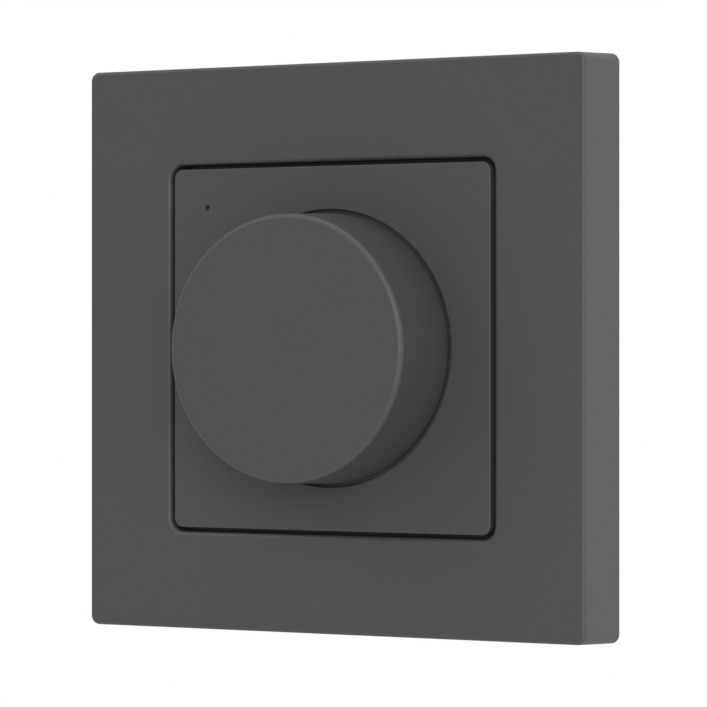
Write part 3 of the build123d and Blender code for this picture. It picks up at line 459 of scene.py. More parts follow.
def rings(section: Sequence[Spot], steps: int, x: float = 0.0, y: float = 0.0) -> list[list[Point]]:
    """The circles of a turned shape, anticlockwise as seen from the room.

    Args:
        section: Radius and level of each circle.
        steps: Chords in each circle.
        x: Where the axis stands, to the right.
        y: Where the axis stands, upwards.

    Returns:
        The circles in order.
    """
    turn = [2 * math.pi * i / steps for i in range(steps)]
    return [[(x + r * math.cos(a), y + r * math.sin(a), z) for a in turn] for r, z in section]


@dataclass(frozen=True)
class Thread:
    """A fine V-shaped thread that runs out towards both of its ends."""

    spots: tuple[Spot, ...]
    radius: float
    low: float
    high: float
    pitch: float
    depth_share: float = 0.58
    crest: float = 0.12
    rows: int = 8

    def cut(self, angle: float, z: float) -> float:
        """How deep the thread is at one place on the shank.

        Args:
            angle: The angle about the shank in radians.
            z: The level.

        Returns:
            The depth in millimetres.
        """
        share = (z / self.pitch - angle / (2 * math.pi)) % 1.0
        flank = 1.0 - abs(2.0 * share - 1.0)
        ends = min(1.0, (z - self.low) / self.pitch, (self.high - z) / self.pitch)
        return self.depth_share * self.pitch * max(0.0, flank - self.crest) * max(0.0, ends)


class Mould:
    """Collects the faces of one piece and makes it a Blender object."""

    # How nearly a face has to look straight back, or straight out of a shank, to count as doing so.
    FACES_BACK = 0.999
    FACES_OUT = 0.1
    # How near a corner has to be to a shank's radius, in millimetres.
    ON_SHANK = 0.01
    # A direction that no wire here follows, from which its section starts.
    WIRE_SIDE = (0.36, 0.48, 0.8)

    def __init__(self, place: Matrix | None = None) -> None:
        """Start an empty piece.

        Args:
            place: Where it is drawn on the bench, if not about the bench's own origin.
        """
        self.mesh = bmesh.new()
        self.place = place if place else Matrix.Identity(4)
        self.drawn = True

    @classmethod
    def from_node(cls, node: bpy.types.Object) -> "Mould":
        """Start from a plain node's shape, with its seams closed and its flat faces whole.

        Args:
            node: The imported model's object.

        Returns:
            The new piece.
        """
        mould = cls()
        mould.drawn = False
        mesh = mould.mesh
        mesh.from_mesh(node.data)
        bmesh.ops.remove_doubles(mesh, verts=mesh.verts, dist=SAME_PLACE)
        bmesh.ops.dissolve_limit(mesh, angle_limit=FLAT_EDGE, verts=mesh.verts, edges=mesh.edges)
        return mould

    def break_edges(self, width: float) -> None:
        """Round every sharp edge a little.

        Args:
            width: How far the rounding reaches from the edge in millimetres.
        """
        pairs = [edge for edge in self.mesh.edges if len(edge.link_faces) == 2]
        sharp = [edge for edge in pairs if edge.calc_face_angle(0.0) > SHARP_EDGE]
        bmesh.ops.bevel(self.mesh, geom=sharp, offset=width * MM, clamp_overlap=True, **EDGE_ROUNDING)

    def point(self, spot: Sequence[float]) -> Vector:
        """A spot of the piece as a point of the upright frame."""
        return bench(*(self.place @ Vector(spot)))

    def skin(self, outlines: list[list[Point]], closed: bool = False) -> list[list[Vert]]:
        """Join neighbouring outlines of equal length with quads.

        Args:
            outlines: The outlines in order, each closed in itself.
            closed: Whether the last one joins the first.

        Returns:
            The outlines' vertices.
        """
        loops = [[self.mesh.verts.new(self.point(p)) for p in points] for points in outlines]
        pairs = list(zip(loops, loops[1:]))
        if closed:
            pairs.append((loops[-1], loops[0]))
        for a, b in pairs:
            for i in range(len(a)):
                j = (i + 1) % len(a)
                self.mesh.faces.new((a[i], a[j], b[j], b[i]))
        return loops

    def fill(self, *loops: list[Vert]) -> None:
        """Close the flat area between an outline and the holes in it.

        Args:
            loops: The outline's vertices, and those of each hole.
        """
        edges = []
        for loop in loops:
            for i, vert in enumerate(loop):
                after = loop[(i + 1) % len(loop)]
                edge = self.mesh.edges.get((vert, after))
                edges.append(edge if edge else self.mesh.edges.new((vert, after)))
        bmesh.ops.triangle_fill(self.mesh, use_beauty=True, edges=edges)

    def solid(self, outlines: list[list[Point]]) -> None:
        """Join outlines with quads and close the first and the last of them.

        Args:
            outlines: The outlines in order, each closed in itself.
        """
        loops = self.skin(outlines)
        self.fill(loops[0])
        self.fill(loops[-1])

    def wire(self, path: list[Point], radius: float, sides: int = 8) -> None:
        """Sweep a round section along a path.

        Args:
            path: The points that the wire follows.
            radius: Its radius in millimetres.
            sides: Chords round the wire.
        """
        spots = [Vector(p) for p in path]
        side = Vector(self.WIRE_SIDE)
        turn = [2 * math.pi * k / sides for k in range(sides)]
        outlines = []
        for i, here in enumerate(spots):
            ahead = (spots[min(i + 1, len(spots) - 1)] - spots[max(i - 1, 0)]).normalized()
            side = (side - ahead * side.dot(ahead)).normalized()
            across = ahead.cross(side)
            ways = [math.cos(a) * side + math.sin(a) * across for a in turn]
            outlines.append([tuple(here + radius * way) for way in ways])
        self.solid(outlines)

    def box(self, low: Point, high: Point, bevel: float) -> None:
        """Add a block with bevelled edges between two corners.

        Args:
            low: The lowest corner.
            high: The highest corner.
            bevel: The width of its bevels.
        """
        made = bmesh.ops.create_cube(self.mesh, size=1.0)["verts"]
        for vert in made:
            share = [c + 0.5 for c in vert.co]
            vert.co = self.point([a + s * (b - a) for a, b, s in zip(low, high, share)])
        edges = list({edge for vert in made for edge in vert.link_edges})
        bmesh.ops.bevel(self.mesh, geom=edges, offset=bevel * MM, **EDGE_ROUNDING)

    def sink(self, low: Point, high: Point, depth: float) -> None:
        """Sink a rectangular field of a flat face that looks away from the room.

        Args:
            low: The field's lower left corner.
            high: Its upper right corner, on the same level.
            depth: How deep it is sunk in millimetres.
        """
        first, last = self.point(low), self.point(high)

        def flat() -> list[Face]:
            """The faces on the field's level."""
            back = [face for face in self.mesh.faces if face.normal.y > self.FACES_BACK]
            return [face for face in back if abs(face.calc_center_median().y - first.y) < SAME_PLACE]

        for corner in (first, last):
            for axis in (bench(1, 0, 0), bench(0, 1, 0)):
                around = self._with_parts(flat())
                bmesh.ops.bisect_plane(self.mesh, geom=around, plane_co=corner, plane_no=axis)
        field = []
        for face in flat():
            middle = face.calc_center_median()
            if first.x < middle.x < last.x and first.z < middle.z < last.z:
                field.append(face)
        made = bmesh.ops.extrude_face_region(self.mesh, geom=field)["geom"]
        moved = [part for part in made if isinstance(part, Vert)]
        bmesh.ops.translate(self.mesh, verts=moved, vec=bench(0, 0, depth))
        bmesh.ops.delete(self.mesh, geom=field, context="FACES")

    @staticmethod
    def _with_parts(faces: list[Face]) -> list[Face | bmesh.types.BMEdge | Vert]:
        """Some faces with their corners and edges."""
        return faces + list({part for face in faces for part in (*face.verts, *face.edges)})

    def thread(self, thread: Thread, at: Spot) -> None:
        """Cut a right-hand thread into a plain round shank along the knob's axis.

        Args:
            thread: The thread's sizes.
            at: Where the shank stands.
        """

        def polar(vert: Vert) -> Point:
            """A corner's radius and angle about the shank, and its level."""
            x, y, z = vert.co.x / MM - at[0], vert.co.z / MM - at[1], -vert.co.y / MM
            return math.hypot(x, y), math.atan2(y, x), z

        def on_shank(vert: Vert) -> bool:
            """Whether a corner lies on the plain shank."""
            return abs(polar(vert)[0] - thread.radius) < self.ON_SHANK

        self.mesh.normal_update()
        sides = [face for face in self.mesh.faces if abs(face.normal.y) < self.FACES_OUT]
        shank = self._with_parts([face for face in sides if all(map(on_shank, face.verts))])
        rows = round((thread.high - thread.low) / thread.pitch * thread.rows)
        for row in range(rows + 1):
            level = bench(0, 0, thread.low + (thread.high - thread.low) * row / rows)
            cut = bmesh.ops.bisect_plane(self.mesh, geom=shank, plane_co=level, plane_no=(0, 1, 0))
            shank = cut["geom"]
        for vert in {part for part in shank if isinstance(part, Vert)}:
            radius, angle, z = polar(vert)
            sunk = radius - thread.cut(angle, z)
            vert.co = bench(at[0] + sunk * math.cos(angle), at[1] + sunk * math.sin(angle), z)

    def piece(
        self, name: str, finish: Finish, node: str | None = None, body: Body = Body.PANEL
    ) -> bpy.types.Object:
        """Finish the mesh, dress it and let it ride.

        Args:
            name: The piece's name.
            finish: What it is made of.
            node: The plain node that it stands for, if any.
            body: The moving group that it belongs to.

        Returns:
            The new object.
        """
        if self.drawn:
            bmesh.ops.recalc_face_normals(self.mesh, faces=self.mesh.faces)
        for edge in self.mesh.edges:
            edge.smooth = len(edge.link_faces) == 2 and edge.calc_face_angle(0.0) < SHARP_EDGE
        for face in self.mesh.faces:
            face.smooth = True
        data = bpy.data.meshes.new(name)
        self.mesh.to_mesh(data)
        self.mesh.free()
        made = bpy.data.objects.new(name, data)
        bpy.context.scene.collection.objects.link(made)
        normals = made.modifiers.new("even_normals", "WEIGHTED_NORMAL")
        normals.keep_sharp = True
        data.materials.append(finish.material())
        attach(made, body.value)
        if node:
            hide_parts(node)
        LOG.info("%s: %d faces in %s", name, len(data.polygons), finish.name)
        return made


@dataclass(frozen=True)
class PlainPiece:
    """A piece whose solid has the right shape and needs only broken edges, a thread and its finish."""

    node: str
    finish: Finish
    edge: float
    thread: Thread | None = None

    def build(self, nodes: Nodes) -> bpy.types.Object:
        """Make the piece.

        Args:
            nodes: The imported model's objects by name.

        Returns:
            The new object.
        """
        mould = Mould.from_node(nodes[self.node])
        mould.break_edges(self.edge)
        for spot in self.thread.spots if self.thread else ():
            mould.thread(self.thread, spot)
        body = Body(body_of(nodes[self.node])[0])
        return mould.piece(f"{self.node}_finished", self.finish, self.node, body)


@dataclass
class CoverFrame:
    """The square frame with its sunk opening."""

    half: float = 43.0
    depth: float = 10.4
    draft: float = 0.43
    corner: float = 1.4
    edge: float = 0.55
    wall: float = 2.0
    inner_corner: float = 0.6
    inner_z: float = 8.0
    opening_half: float = 27.85
    opening_corner: float = 2.05
    opening_edge: float = 0.7
    ledge_z: float = 6.4
    ledge_back_z: float = 4.8
    ledge_width: float = 1.5
    tube_wall: float = 1.8
    rib: float = 1.2
    rib_at: float = 20.0
    rib_back_z: float = 5.3
    rib_bevel: float = 0.15
    root: float = 0.4
    ejector_r: float = 1.6
    ejector_at: float = 35.0
    ejector_relief: float = 0.12
    ejector_steps: int = 32
    corner_steps: int = 10
    edge_steps: int = 6

    def build(self) -> None:
        """Make the frame."""
        mould = Mould()
        outlines = [rounded_square(*row, self.corner_steps) for row in self.section()]
        mould.skin(outlines, closed=True)
        self._ribs(mould)
        self._ejector_marks(mould)
        mould.piece("frame_moulding", ANTHRACITE_ASA, "cover_frame")

    def section(self) -> list[Point]:
        """The frame's closed section, from the wall up the outside and back down the inside.

        Returns:
            Half width, corner radius and level of each outline.
        """
        lean = self.draft / self.depth
        angle = math.degrees(math.atan(lean))
        arc_z = self.depth - self.edge
        wall_half = self.half - lean * arc_z
        arc_half = wall_half - self.edge / math.cos(math.radians(angle))
        outline = [(self.half, self.corner, 0.0)]
        for half, z in arc((arc_half, arc_z), self.edge, angle, 90.0, self.edge_steps):
            outline.append((half, self.corner - (wall_half - half), z))
        mouth = (self.opening_half + self.opening_edge, self.depth - self.opening_edge)
        for half, z in arc(mouth, self.opening_edge, 90.0, 180.0, self.edge_steps):
            outline.append((half, self.opening_corner + half - self.opening_half, z))
        ledge = self.opening_half - self.ledge_width
        tube = self.opening_half + self.tube_wall
        tube_corner = self.opening_corner + self.tube_wall
        inside = self.half - self.wall
        return outline + [
            (self.opening_half, self.opening_corner, self.ledge_z),
            (ledge, self.opening_corner, self.ledge_z),
            (ledge, self.opening_corner, self.ledge_back_z),
            (tube, tube_corner, self.ledge_back_z),
            (tube, tube_corner, self.inner_z),
            (inside - lean * self.inner_z, self.inner_corner, self.inner_z),
            (inside, self.inner_corner, 0.0),
        ]

    def _ribs(self, mould: Mould) -> None:
        """Stiffen the hollow with two ribs on each side, rooted in the walls.

        Args:
            mould: The frame so far.
        """
        low = self.opening_half + self.tube_wall - self.root
        high = self.half - self.wall
        for quarter in range(4):
            mould.place = Matrix.Rotation(math.radians(90 * quarter), 4, "Z")
            for x in (-self.rib_at, self.rib_at):
                first = (x - self.rib / 2, low, self.rib_back_z)
                mould.box(first, (x + self.rib / 2, high, self.inner_z + self.root), self.rib_bevel)
        mould.place = Matrix.Identity(4)

    def _ejector_marks(self, mould: Mould) -> None:
        """Leave the faint round marks of the mould's ejector pins in the hollow.

        Args:
            mould: The frame so far.
        """
        levels = (self.inner_z + self.root, self.inner_z - self.ejector_relief)
        pin = [(self.ejector_r, z) for z in levels]
        for x in (-self.ejector_at, self.ejector_at):
            for y in (-self.ejector_at, self.ejector_at):
                mould.solid(rings(pin, self.ejector_steps, x, y))


@dataclass
class CentrePlate:
    """The square plate under the knob, with its bush hole and the indicator's pinhole."""

    half: float = 27.2
    corner: float = 1.4
    edge: float = 0.15
    front_z: float = 10.3
    recess_z: float = 9.2
    recess_r: float = 20.7
    recess_edge: float = 0.15
    back_z: float = 8.3
    foot_z: float = 6.4
    skirt: float = 1.6
    boss_r: float = 9.0
    boss_z: float = 7.9
    bush_r: float = 4.65
    pinhole: Spot = (-21.3, 21.3)
    pinhole_r: float = 0.4
    pinhole_edge: float = 0.06
    socket_r: float = 1.25
    socket_z: float = 9.5
    corner_steps: int = 10
    edge_steps: int = 5
    recess_steps: int = 192
    hole_steps: int = 48

    def build(self) -> None:
        """Make the plate."""
        mould = Mould()
        rim = mould.skin([rounded_square(*row, self.corner_steps) for row in self._rim()])
        boss_section = (
            (self.boss_r, self.back_z),
            (self.boss_r, self.boss_z),
            (self.bush_r, self.boss_z),
            (self.bush_r, self.recess_z),
        )
        boss = mould.skin(rings(boss_section, self.hole_steps))
        mouth = (self.recess_r + self.recess_edge, self.front_z - self.recess_edge)
        recess_section = [
            (self.recess_r, self.recess_z),
            *arc(mouth, self.recess_edge, 180.0, 90.0, self.edge_steps),
        ]
        recess = mould.skin(rings(recess_section, self.recess_steps))
        pin_section = (
            (self.socket_r, self.back_z),
            (self.socket_r, self.socket_z),
            (self.pinhole_r, self.socket_z),
            (self.pinhole_r, self.front_z - self.pinhole_edge),
            (self.pinhole_r + self.pinhole_edge, self.front_z),
        )
        pin = mould.skin(rings(pin_section, self.hole_steps, *self.pinhole))
        mould.fill(rim[-1], recess[-1], pin[-1])
        mould.fill(recess[0], boss[-1])
        mould.fill(rim[0], boss[0], pin[0])
        mould.piece("plate_moulding", ANTHRACITE_ASA, "centre_plate")

    def _rim(self) -> list[Point]:
        """The section of the plate's rim, from the inner face round its foot to the front.

        Returns:
            Half width, corner radius and level of each outline.
        """
        inside = self.half - self.skirt
        outline = [
            (inside, self.corner, self.back_z),
            (inside, self.corner, self.foot_z),
            (self.half, self.corner, self.foot_z),
        ]
        centre = (self.half - self.edge, self.front_z - self.edge)
        for half, z in arc(centre, self.edge, 0.0, 90.0, self.edge_steps):
            outline.append((half, self.corner - (self.half - half), z))
        return outline


@dataclass
class Knob:
    """The plain, slightly tapered knob, with ribs and a slit hub inside."""

    base_r: float = 20.1
    front_r: float = 19.7
    base_z: float = 9.7
    height: float = 13.6
    edge: float = 0.8
    rim: float = 0.25
    wall: float = 1.8
    face: float = 2.0
    hub_r: float = 5.5
    hub_back_z: float = 13.4
    hub_chamfer: float = 0.2
    slit: float = 1.0
    slit_depth: float = 4.5
    slit_end: float = 0.1
    groove_z: float = 14.8
    groove: float = 0.44
    groove_draft: float = 0.05
    bore_r: float = 3.04
    bore_flat: float = 1.54
    rib_count: int = 6
    rib: float = 1.0
    rib_depth: float = 4.0
    rib_bevel: float = 0.1
    root: float = 0.3
    steps: int = 192
    edge_steps: int = 10
    jaw_steps: int = 24

    def build(self) -> None:
        """Make the knob."""
        mould = Mould()
        section = self.section()
        mould.solid(rings(section, self.steps))
        self._ribs(mould, *section[-1])
        self._hub(mould, section[-1][1])
        mould.piece("knob_cap", ANTHRACITE_ASA, "knob", Body.KNOB)

    def section(self) -> Profile:
        """The knob's section from its front over the side to the edge of its inner face.

        Returns:
            Radius and level of each outline.
        """
        front_z = self.base_z + self.height
        lean = (self.base_r - self.front_r) / self.height
        angle = math.degrees(math.atan(lean))
        slope = math.cos(math.radians(angle))
        edge_z = front_z - self.edge
        edge_r = self.base_r - lean * (edge_z - self.base_z) - self.edge / slope
        profile = arc((edge_r, edge_z), self.edge, angle, 90.0, self.edge_steps)[::-1]
        rim_z = self.base_z + self.rim
        rim_r = self.base_r - lean * self.rim - self.rim / slope
        profile += arc((rim_r, rim_z), self.rim, angle, -90.0, self.edge_steps // 2)
        inner_z = front_z - self.face
        inner_r = self.base_r - self.wall
        profile += [(inner_r, self.base_z), (inner_r - lean * (inner_z - self.base_z), inner_z)]
        return profile

    def _ribs(self, mould: Mould, inner_r: float, inner_z: float) -> None:
        """Stiffen the inside with ribs from the hub to the wall.

        Args:
            mould: The knob so far.
            inner_r: The wall's radius at the inner face.
            inner_z: The level of the inner face.
        """
        low = (self.hub_r - self.root, -self.rib / 2, inner_z - self.rib_depth)
        high = (inner_r + self.root, self.rib / 2, inner_z + self.root)
        for i in range(self.rib_count):
            mould.place = Matrix.Rotation(2 * math.pi * i / self.rib_count, 4, "Z")
            mould.box(low, high, self.rib_bevel)
        mould.place = Matrix.Identity(4)

    def _hub(self, mould: Mould, inner_z: float) -> None:
        """Stand the slit hub with its D-shaped bore and spring groove on the inner face.

        Args:
            mould: The knob so far.
            inner_z: The level of the inner face.
        """
        half = self.slit / 2
        slit_z = self.hub_back_z + self.slit_depth
        low, high = self.groove_z - self.groove, self.groove_z + self.groove
        rows = (
            (self.hub_r - self.hub_chamfer, self.hub_back_z, half),
            (self.hub_r, self.hub_back_z + self.hub_chamfer, half),
            (self.hub_r, low, half),
            (self.hub_r - self.groove, low + self.groove_draft, half),
            (self.hub_r - self.groove, high - self.groove_draft, half),
            (self.hub_r, high, half),
            (self.hub_r, slit_z, half),
            (self.hub_r, slit_z + self.slit_end, 0.0),
            (self.hub_r, inner_z + self.root, 0.0),
        )
        for side in (-1, 1):
            mould.solid([self._jaw(side, *row) for row in rows])

    def _jaw(self, side: int, radius: float, z: float, cut: float) -> list[Point]:
        """The outline of one half of the hub.

        Args:
            side: One for the half with the flat, minus one for the other.
            radius: The hub's radius at this level.
            z: The level.
            cut: Half the slit's width there.

        Returns:
            The outline's points.
        """
        outer = math.degrees(math.asin(cut / radius))
        inner = math.degrees(math.asin(cut / self.bore_r))
        rim = arc((0.0, 0.0), radius, outer - 90.0, 90.0 - outer, self.jaw_steps)
        bore = arc((0.0, 0.0), self.bore_r, 90.0 - inner, inner - 90.0, self.jaw_steps)
        if side > 0:
            bore = [(min(x, self.bore_flat), y) for x, y in bore]
        return [(side * x, y, z) for x, y in rim + bore]


@dataclass
class HousingCup:
    """The deep cup, with a bare sunk field for a label on its back."""

    back_z: float = -23.6
    field_low: Spot = (-13.0, -9.4)
    field_high: Spot = (13.0, -1.2)
    field_depth: float = 0.25
    edge: float = 0.15

    def build(self, nodes: Nodes) -> None:
        """Make the cup from its solid.

        Args:
            nodes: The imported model's objects by name.
        """
        mould = Mould.from_node(nodes["housing_cup"])
        mould.sink((*self.field_low, self.back_z), (*self.field_high, self.back_z), self.field_depth)
        mould.break_edges(self.edge)
        mould.piece("housing_cup_moulding", GLASS_FILLED_NYLON, "housing_cup")


@dataclass
class SnapDome:
    """The thin sprung dome under the plunger, which goes flat as the knob is pressed."""

    plain: PlainPiece = PlainPiece("switch_dome", SPRING_STRIP, 0.02)
    travel: float = 0.4
    spare: float = 0.02

    def build(self, nodes: Nodes) -> None:
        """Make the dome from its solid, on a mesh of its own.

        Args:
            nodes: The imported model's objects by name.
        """
        made = self.plain.build(nodes)
        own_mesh(made)


@dataclass
class SmoothingCan:
    """The lying can in its sleeve, with a pale stripe, a scored top, a bung and two leads.

    Insets are given from the sleeve's side and from the can's nearer end.
    """

    at: Point = (-2.0, -9.5, -8.5)
    radius: float = 4.0
    half: float = 6.0
    proud: float = 0.02
    shoulder: float = 0.4
    fold: Spot = (0.8, 0.07)
    bung_seat: Spot = (1.0, 0.2)
    crimp_z: float = 4.0
    crimp_r: float = 0.68
    crimp_out: float = 0.33
    crimp_angle: float = 58.0
    stripe_angles: Spot = (200.0, 240.0)
    stripe_depth: float = 0.2
    stripe_low: float = 0.6
    stripe_high: float = 0.9
    top_inset: float = 0.85
    top_levels: Spot = (0.2, 0.01)
    top_tip: float = 0.24
    score_angle: float = 4.0
    bung: tuple[Spot, ...] = ((1.05, 0.4), (1.05, 0.14), (1.25, 0.04))
    lead_r: float = 0.3
    lead_y: float = 1.75
    lead_root: float = 0.3
    lead_bend: float = 0.5
    steps: int = 64
    bung_steps: int = 48
    stripe_steps: int = 10
    wedge_steps: int = 12
    crimp_steps: int = 8
    bend_steps: int = 5

    def __post_init__(self) -> None:
        """Work out where the can lies and how wide its sleeve is."""
        self.place = Matrix.Translation(self.at) @ Matrix.Rotation(math.pi / 2, 4, "Y")
        self.side = self.radius - self.proud

    def build(self) -> None:
        """Make the can's pieces."""
        self._sleeve()
        self._stripe()
        self._top()
        bung = Mould(self.place)
        bung.solid(rings([(self.side - a, self.half - b) for a, b in self.bung], self.bung_steps))
        bung.piece("can_bung", BUNG_RUBBER)
        self._leads()

    def _sleeve(self) -> None:
        """The sleeve, folded over both ends of the can and drawn into its crimp."""
        r, end, shoulder = self.side, self.half, self.shoulder
        inset, drop = self.fold
        seat, seat_drop = self.bung_seat
        crimp = (r + self.crimp_out, self.crimp_z)
        angles = (180.0 + self.crimp_angle, 180.0 - self.crimp_angle)
        section = [(r - inset, drop - end)]
        section += arc((r - shoulder, shoulder - end), shoulder, 270.0, 360.0, self.bend_steps)
        section += arc(crimp, self.crimp_r, *angles, self.crimp_steps)
        section += arc((r - shoulder, end - shoulder), shoulder, 0.0, 90.0, self.bend_steps)
        section += [(r - inset, end - drop), (r - seat, end - seat_drop)]
        sleeve = Mould(self.place)
        sleeve.solid(rings(section, self.steps))
        sleeve.piece("can_sleeve", SHRINK_SLEEVE, "smoothing_capacitor")

    def _stripe(self) -> None:
        """The stripe along the sleeve, as a thin shell that stands a little proud of it."""
        radii = (self.side - self.stripe_depth, self.side + self.proud)
        inner, outer = (arc((0.0, 0.0), r, *self.stripe_angles, self.stripe_steps) for r in radii)
        levels = (self.stripe_low - self.half, self.crimp_z - self.stripe_high)
        stripe = Mould(self.place)
        stripe.solid(lift(inner + outer[::-1], *levels))
        stripe.piece("can_stripe", SLEEVE_STRIPE)

    def _top(self) -> None:
        """The bare top, in four wedges between the score lines along which it would burst."""
        top = Mould(self.place)
        for quarter in range(4):
            start, end = 90.0 * quarter + self.score_angle, 90.0 * (quarter + 1) - self.score_angle
            wedge = arc((0.0, 0.0), self.side - self.top_inset, start, end, self.wedge_steps)
            turn = math.radians(90.0 * quarter + 45.0)
            tip = (self.top_tip * math.cos(turn), self.top_tip * math.sin(turn))
            top.solid(lift([tip, *wedge], *(level - self.half for level in self.top_levels)))
        top.piece("can_top", MILL_ALUMINIUM)

    def _leads(self) -> None:
        """The two leads, bent down to the board."""
        leads = Mould(self.place)
        out = self.half + self.lead_bend
        bend = arc((out, 0.0), self.lead_bend, 90.0, 0.0, self.bend_steps)
        for y in (-self.lead_y, self.lead_y):
            path = [(0.0, y, self.half - self.lead_root)]
            path += [(self.lead_bend - b, y, a) for a, b in bend]
            path.append((self.radius, y, out + self.lead_bend))
            leads.wire(path, self.lead_r)
        leads.piece("can_leads", TINNED_COPPER)


@dataclass
class ChokeWinding:
    """The winding: one layer of wire that shows, on the layers under it, and its two ends."""

    at: Spot = (-9.0, 2.25)
    low_z: float = -11.3
    high_z: float = -6.1
    core_r: float = 2.62
    wound_r: float = 3.88
    wire_r: float = 0.26
    turns: int = 9
    lead_x: float = 4.85
    lead_in: float = 0.3
    lead_drop: float = 0.2
    second_lead_y: float = 0.6
    second_bend_y: float = 0.45
    steps: int = 64
    turn_steps: int = 32

    def build(self) -> None:
        """Wind the choke."""
        mould = Mould(Matrix.Translation((*self.at, 0.0)))
        low, high = self.low_z, self.high_z
        layers = ((self.core_r, low), (self.wound_r, low), (self.wound_r, high), (self.core_r, high))
        mould.skin(rings(layers, self.steps), closed=True)
        first, last = low + self.wire_r, high - self.wire_r
        out, bend = self.lead_x, self.lead_x - self.lead_in
        path = [(out, 0.0, POWER_FRONT), (out, 0.0, first - self.lead_drop), (bend, 0.0, first)]
        steps = self.turn_steps * self.turns
        for i in range(steps + 1):
            a = 2 * math.pi * i * self.turns / steps
            x, y = self.wound_r * math.cos(a), self.wound_r * math.sin(a)
            path.append((x, y, first + (last - first) * i / steps))
        path += [
            (bend, self.second_bend_y, last),
            (out, self.second_lead_y, last - self.lead_drop),
            (out, self.second_lead_y, POWER_FRONT),
        ]
        mould.wire(path, self.wire_r)
        mould.piece("choke_turns", ENAMELLED_COPPER, "choke_winding")


@dataclass
class PinHeader:
    """The pin strip between the boards: a notched moulding on square pins."""

    pins: int = 5
    width: float = 2.4
    gap: float = 0.02
    notch: float = 0.35
    pin: float = 0.64
    pin_bevel: float = 0.14
    pin_low_z: float = -15.5
    pin_high_z: float = 0.1

    def build(self) -> None:
        """Make the strip and its pins."""
        strip, pins = Mould(), Mould()
        half, pin = self.width / 2, self.pin / 2
        length = PIN_PITCH / 2 - self.gap
        x, low, high = HEADER_X, POWER_FRONT, POWER_FRONT + self.width
        for i in range(self.pins):
            y = (i - (self.pins - 1) / 2) * PIN_PITCH
            strip.box((x - half, y - length, low), (x + half, y + length, high), self.notch)
            foot = (x - pin, y - pin, self.pin_low_z)
            pins.box(foot, (x + pin, y + pin, self.pin_high_z), self.pin_bevel)
        strip.piece("header_strip", BLACK_PBT)
        pins.piece("header_pins", TINNED_COPPER, "board_header")


@dataclass
class PowerTransistors:
    """The two power transistors, each a moulded body on a metal tab with two bent legs."""

    at: Spot = (8.5, 1.0)
    size: Point = (10.2, 9.2, 4.4)
    seat: float = 0.02
    bevel: float = 0.25
    tab: float = 1.6
    tab_t: float = 1.3
    tab_root: float = 1.0
    tab_inset: float = 0.1
    tab_bevel: float = 0.12
    leg_width: float = 0.9
    leg_reach: float = 2.4
    leg_t: float = 0.5
    leg_rise: float = 2.4
    leg_root: float = 0.5
    leg_bevel: float = 0.08
    foot: float = 1.2
    heel: float = 0.9

    def build(self) -> None:
        """Make the moulded bodies and the metal under them."""
        body, metal = Mould(), Mould()
        width, height, depth = self.size
        front = POWER_BACK
        for side in (-1, 1):
            x, y = side * self.at[0], self.at[1]
            left, right = x - width / 2, x + width / 2
            bottom, top = y - height / 2, y + height / 2
            body.box((left, bottom, front - depth), (right, top, front - self.seat), self.bevel)
            root = (left + self.tab_inset, top - self.tab_root, front - self.tab_t)
            metal.box(root, (right - self.tab_inset, top + self.tab, front), self.tab_bevel)
            for shift in (-PIN_PITCH, PIN_PITCH):
                self._leg(metal, x + shift, bottom)
        body.piece("transistor_bodies", EPOXY_COMPOUND, "power_transistors")
        metal.piece("transistor_tabs", TINNED_COPPER)

    def _leg(self, metal: Mould, x: float, root_y: float) -> None:
        """Bend one leg from the body down to its foot on the board.

        Args:
            metal: The metal so far.
            x: The leg's middle.
            root_y: Where it leaves the body.
        """
        low, high = x - self.leg_width / 2, x + self.leg_width / 2
        front, rise = POWER_BACK, POWER_BACK - self.leg_rise
        foot = root_y - self.leg_reach
        heel = foot + self.heel
        runs = (
            ((low, foot, front - self.leg_t), (high, foot + self.foot, front)),
            ((low, heel, rise), (high, heel + self.leg_t, front)),
            ((low, heel, rise), (high, root_y + self.leg_root, rise + self.leg_t)),
        )
        for run in runs:
            metal.box(*run, self.leg_bevel)


@dataclass
class ChipLegs:
    """The controller chip's gull-wing legs on all four sides."""

    at: Spot = (-12.5, -12.5)
    chip: float = 7.0
    pitch: float = 0.8
    count: int = 8
    width: float = 0.36
    thickness: float = 0.15
    top_z: float = -0.9
    reach: float = 1.0
    root: float = 0.2
    bevel: float = 0.03

    def build(self) -> None:
        """Make the legs, each in three runs."""
        mould = Mould()
        edge, t = self.chip / 2, self.thickness
        knee = edge + self.reach / 2
        for quarter in range(4):
            turn = Matrix.Rotation(math.pi / 2 * quarter, 4, "Z")
            mould.place = Matrix.Translation((*self.at, 0.0)) @ turn
            for i in range(self.count):
                x = (i - (self.count - 1) / 2) * self.pitch
                low, high = x - self.width / 2, x + self.width / 2
                runs = (
                    ((low, edge - self.root, self.top_z), (high, knee, self.top_z + t)),
                    ((low, knee - t, CONTROL_FRONT), (high, knee, self.top_z + t)),
                    ((low, knee - t, CONTROL_FRONT), (high, edge + self.reach, CONTROL_FRONT + t)),
                )
                for run in runs:
                    mould.box(*run, self.bevel)
        mould.piece("chip_legs", TINNED_COPPER)


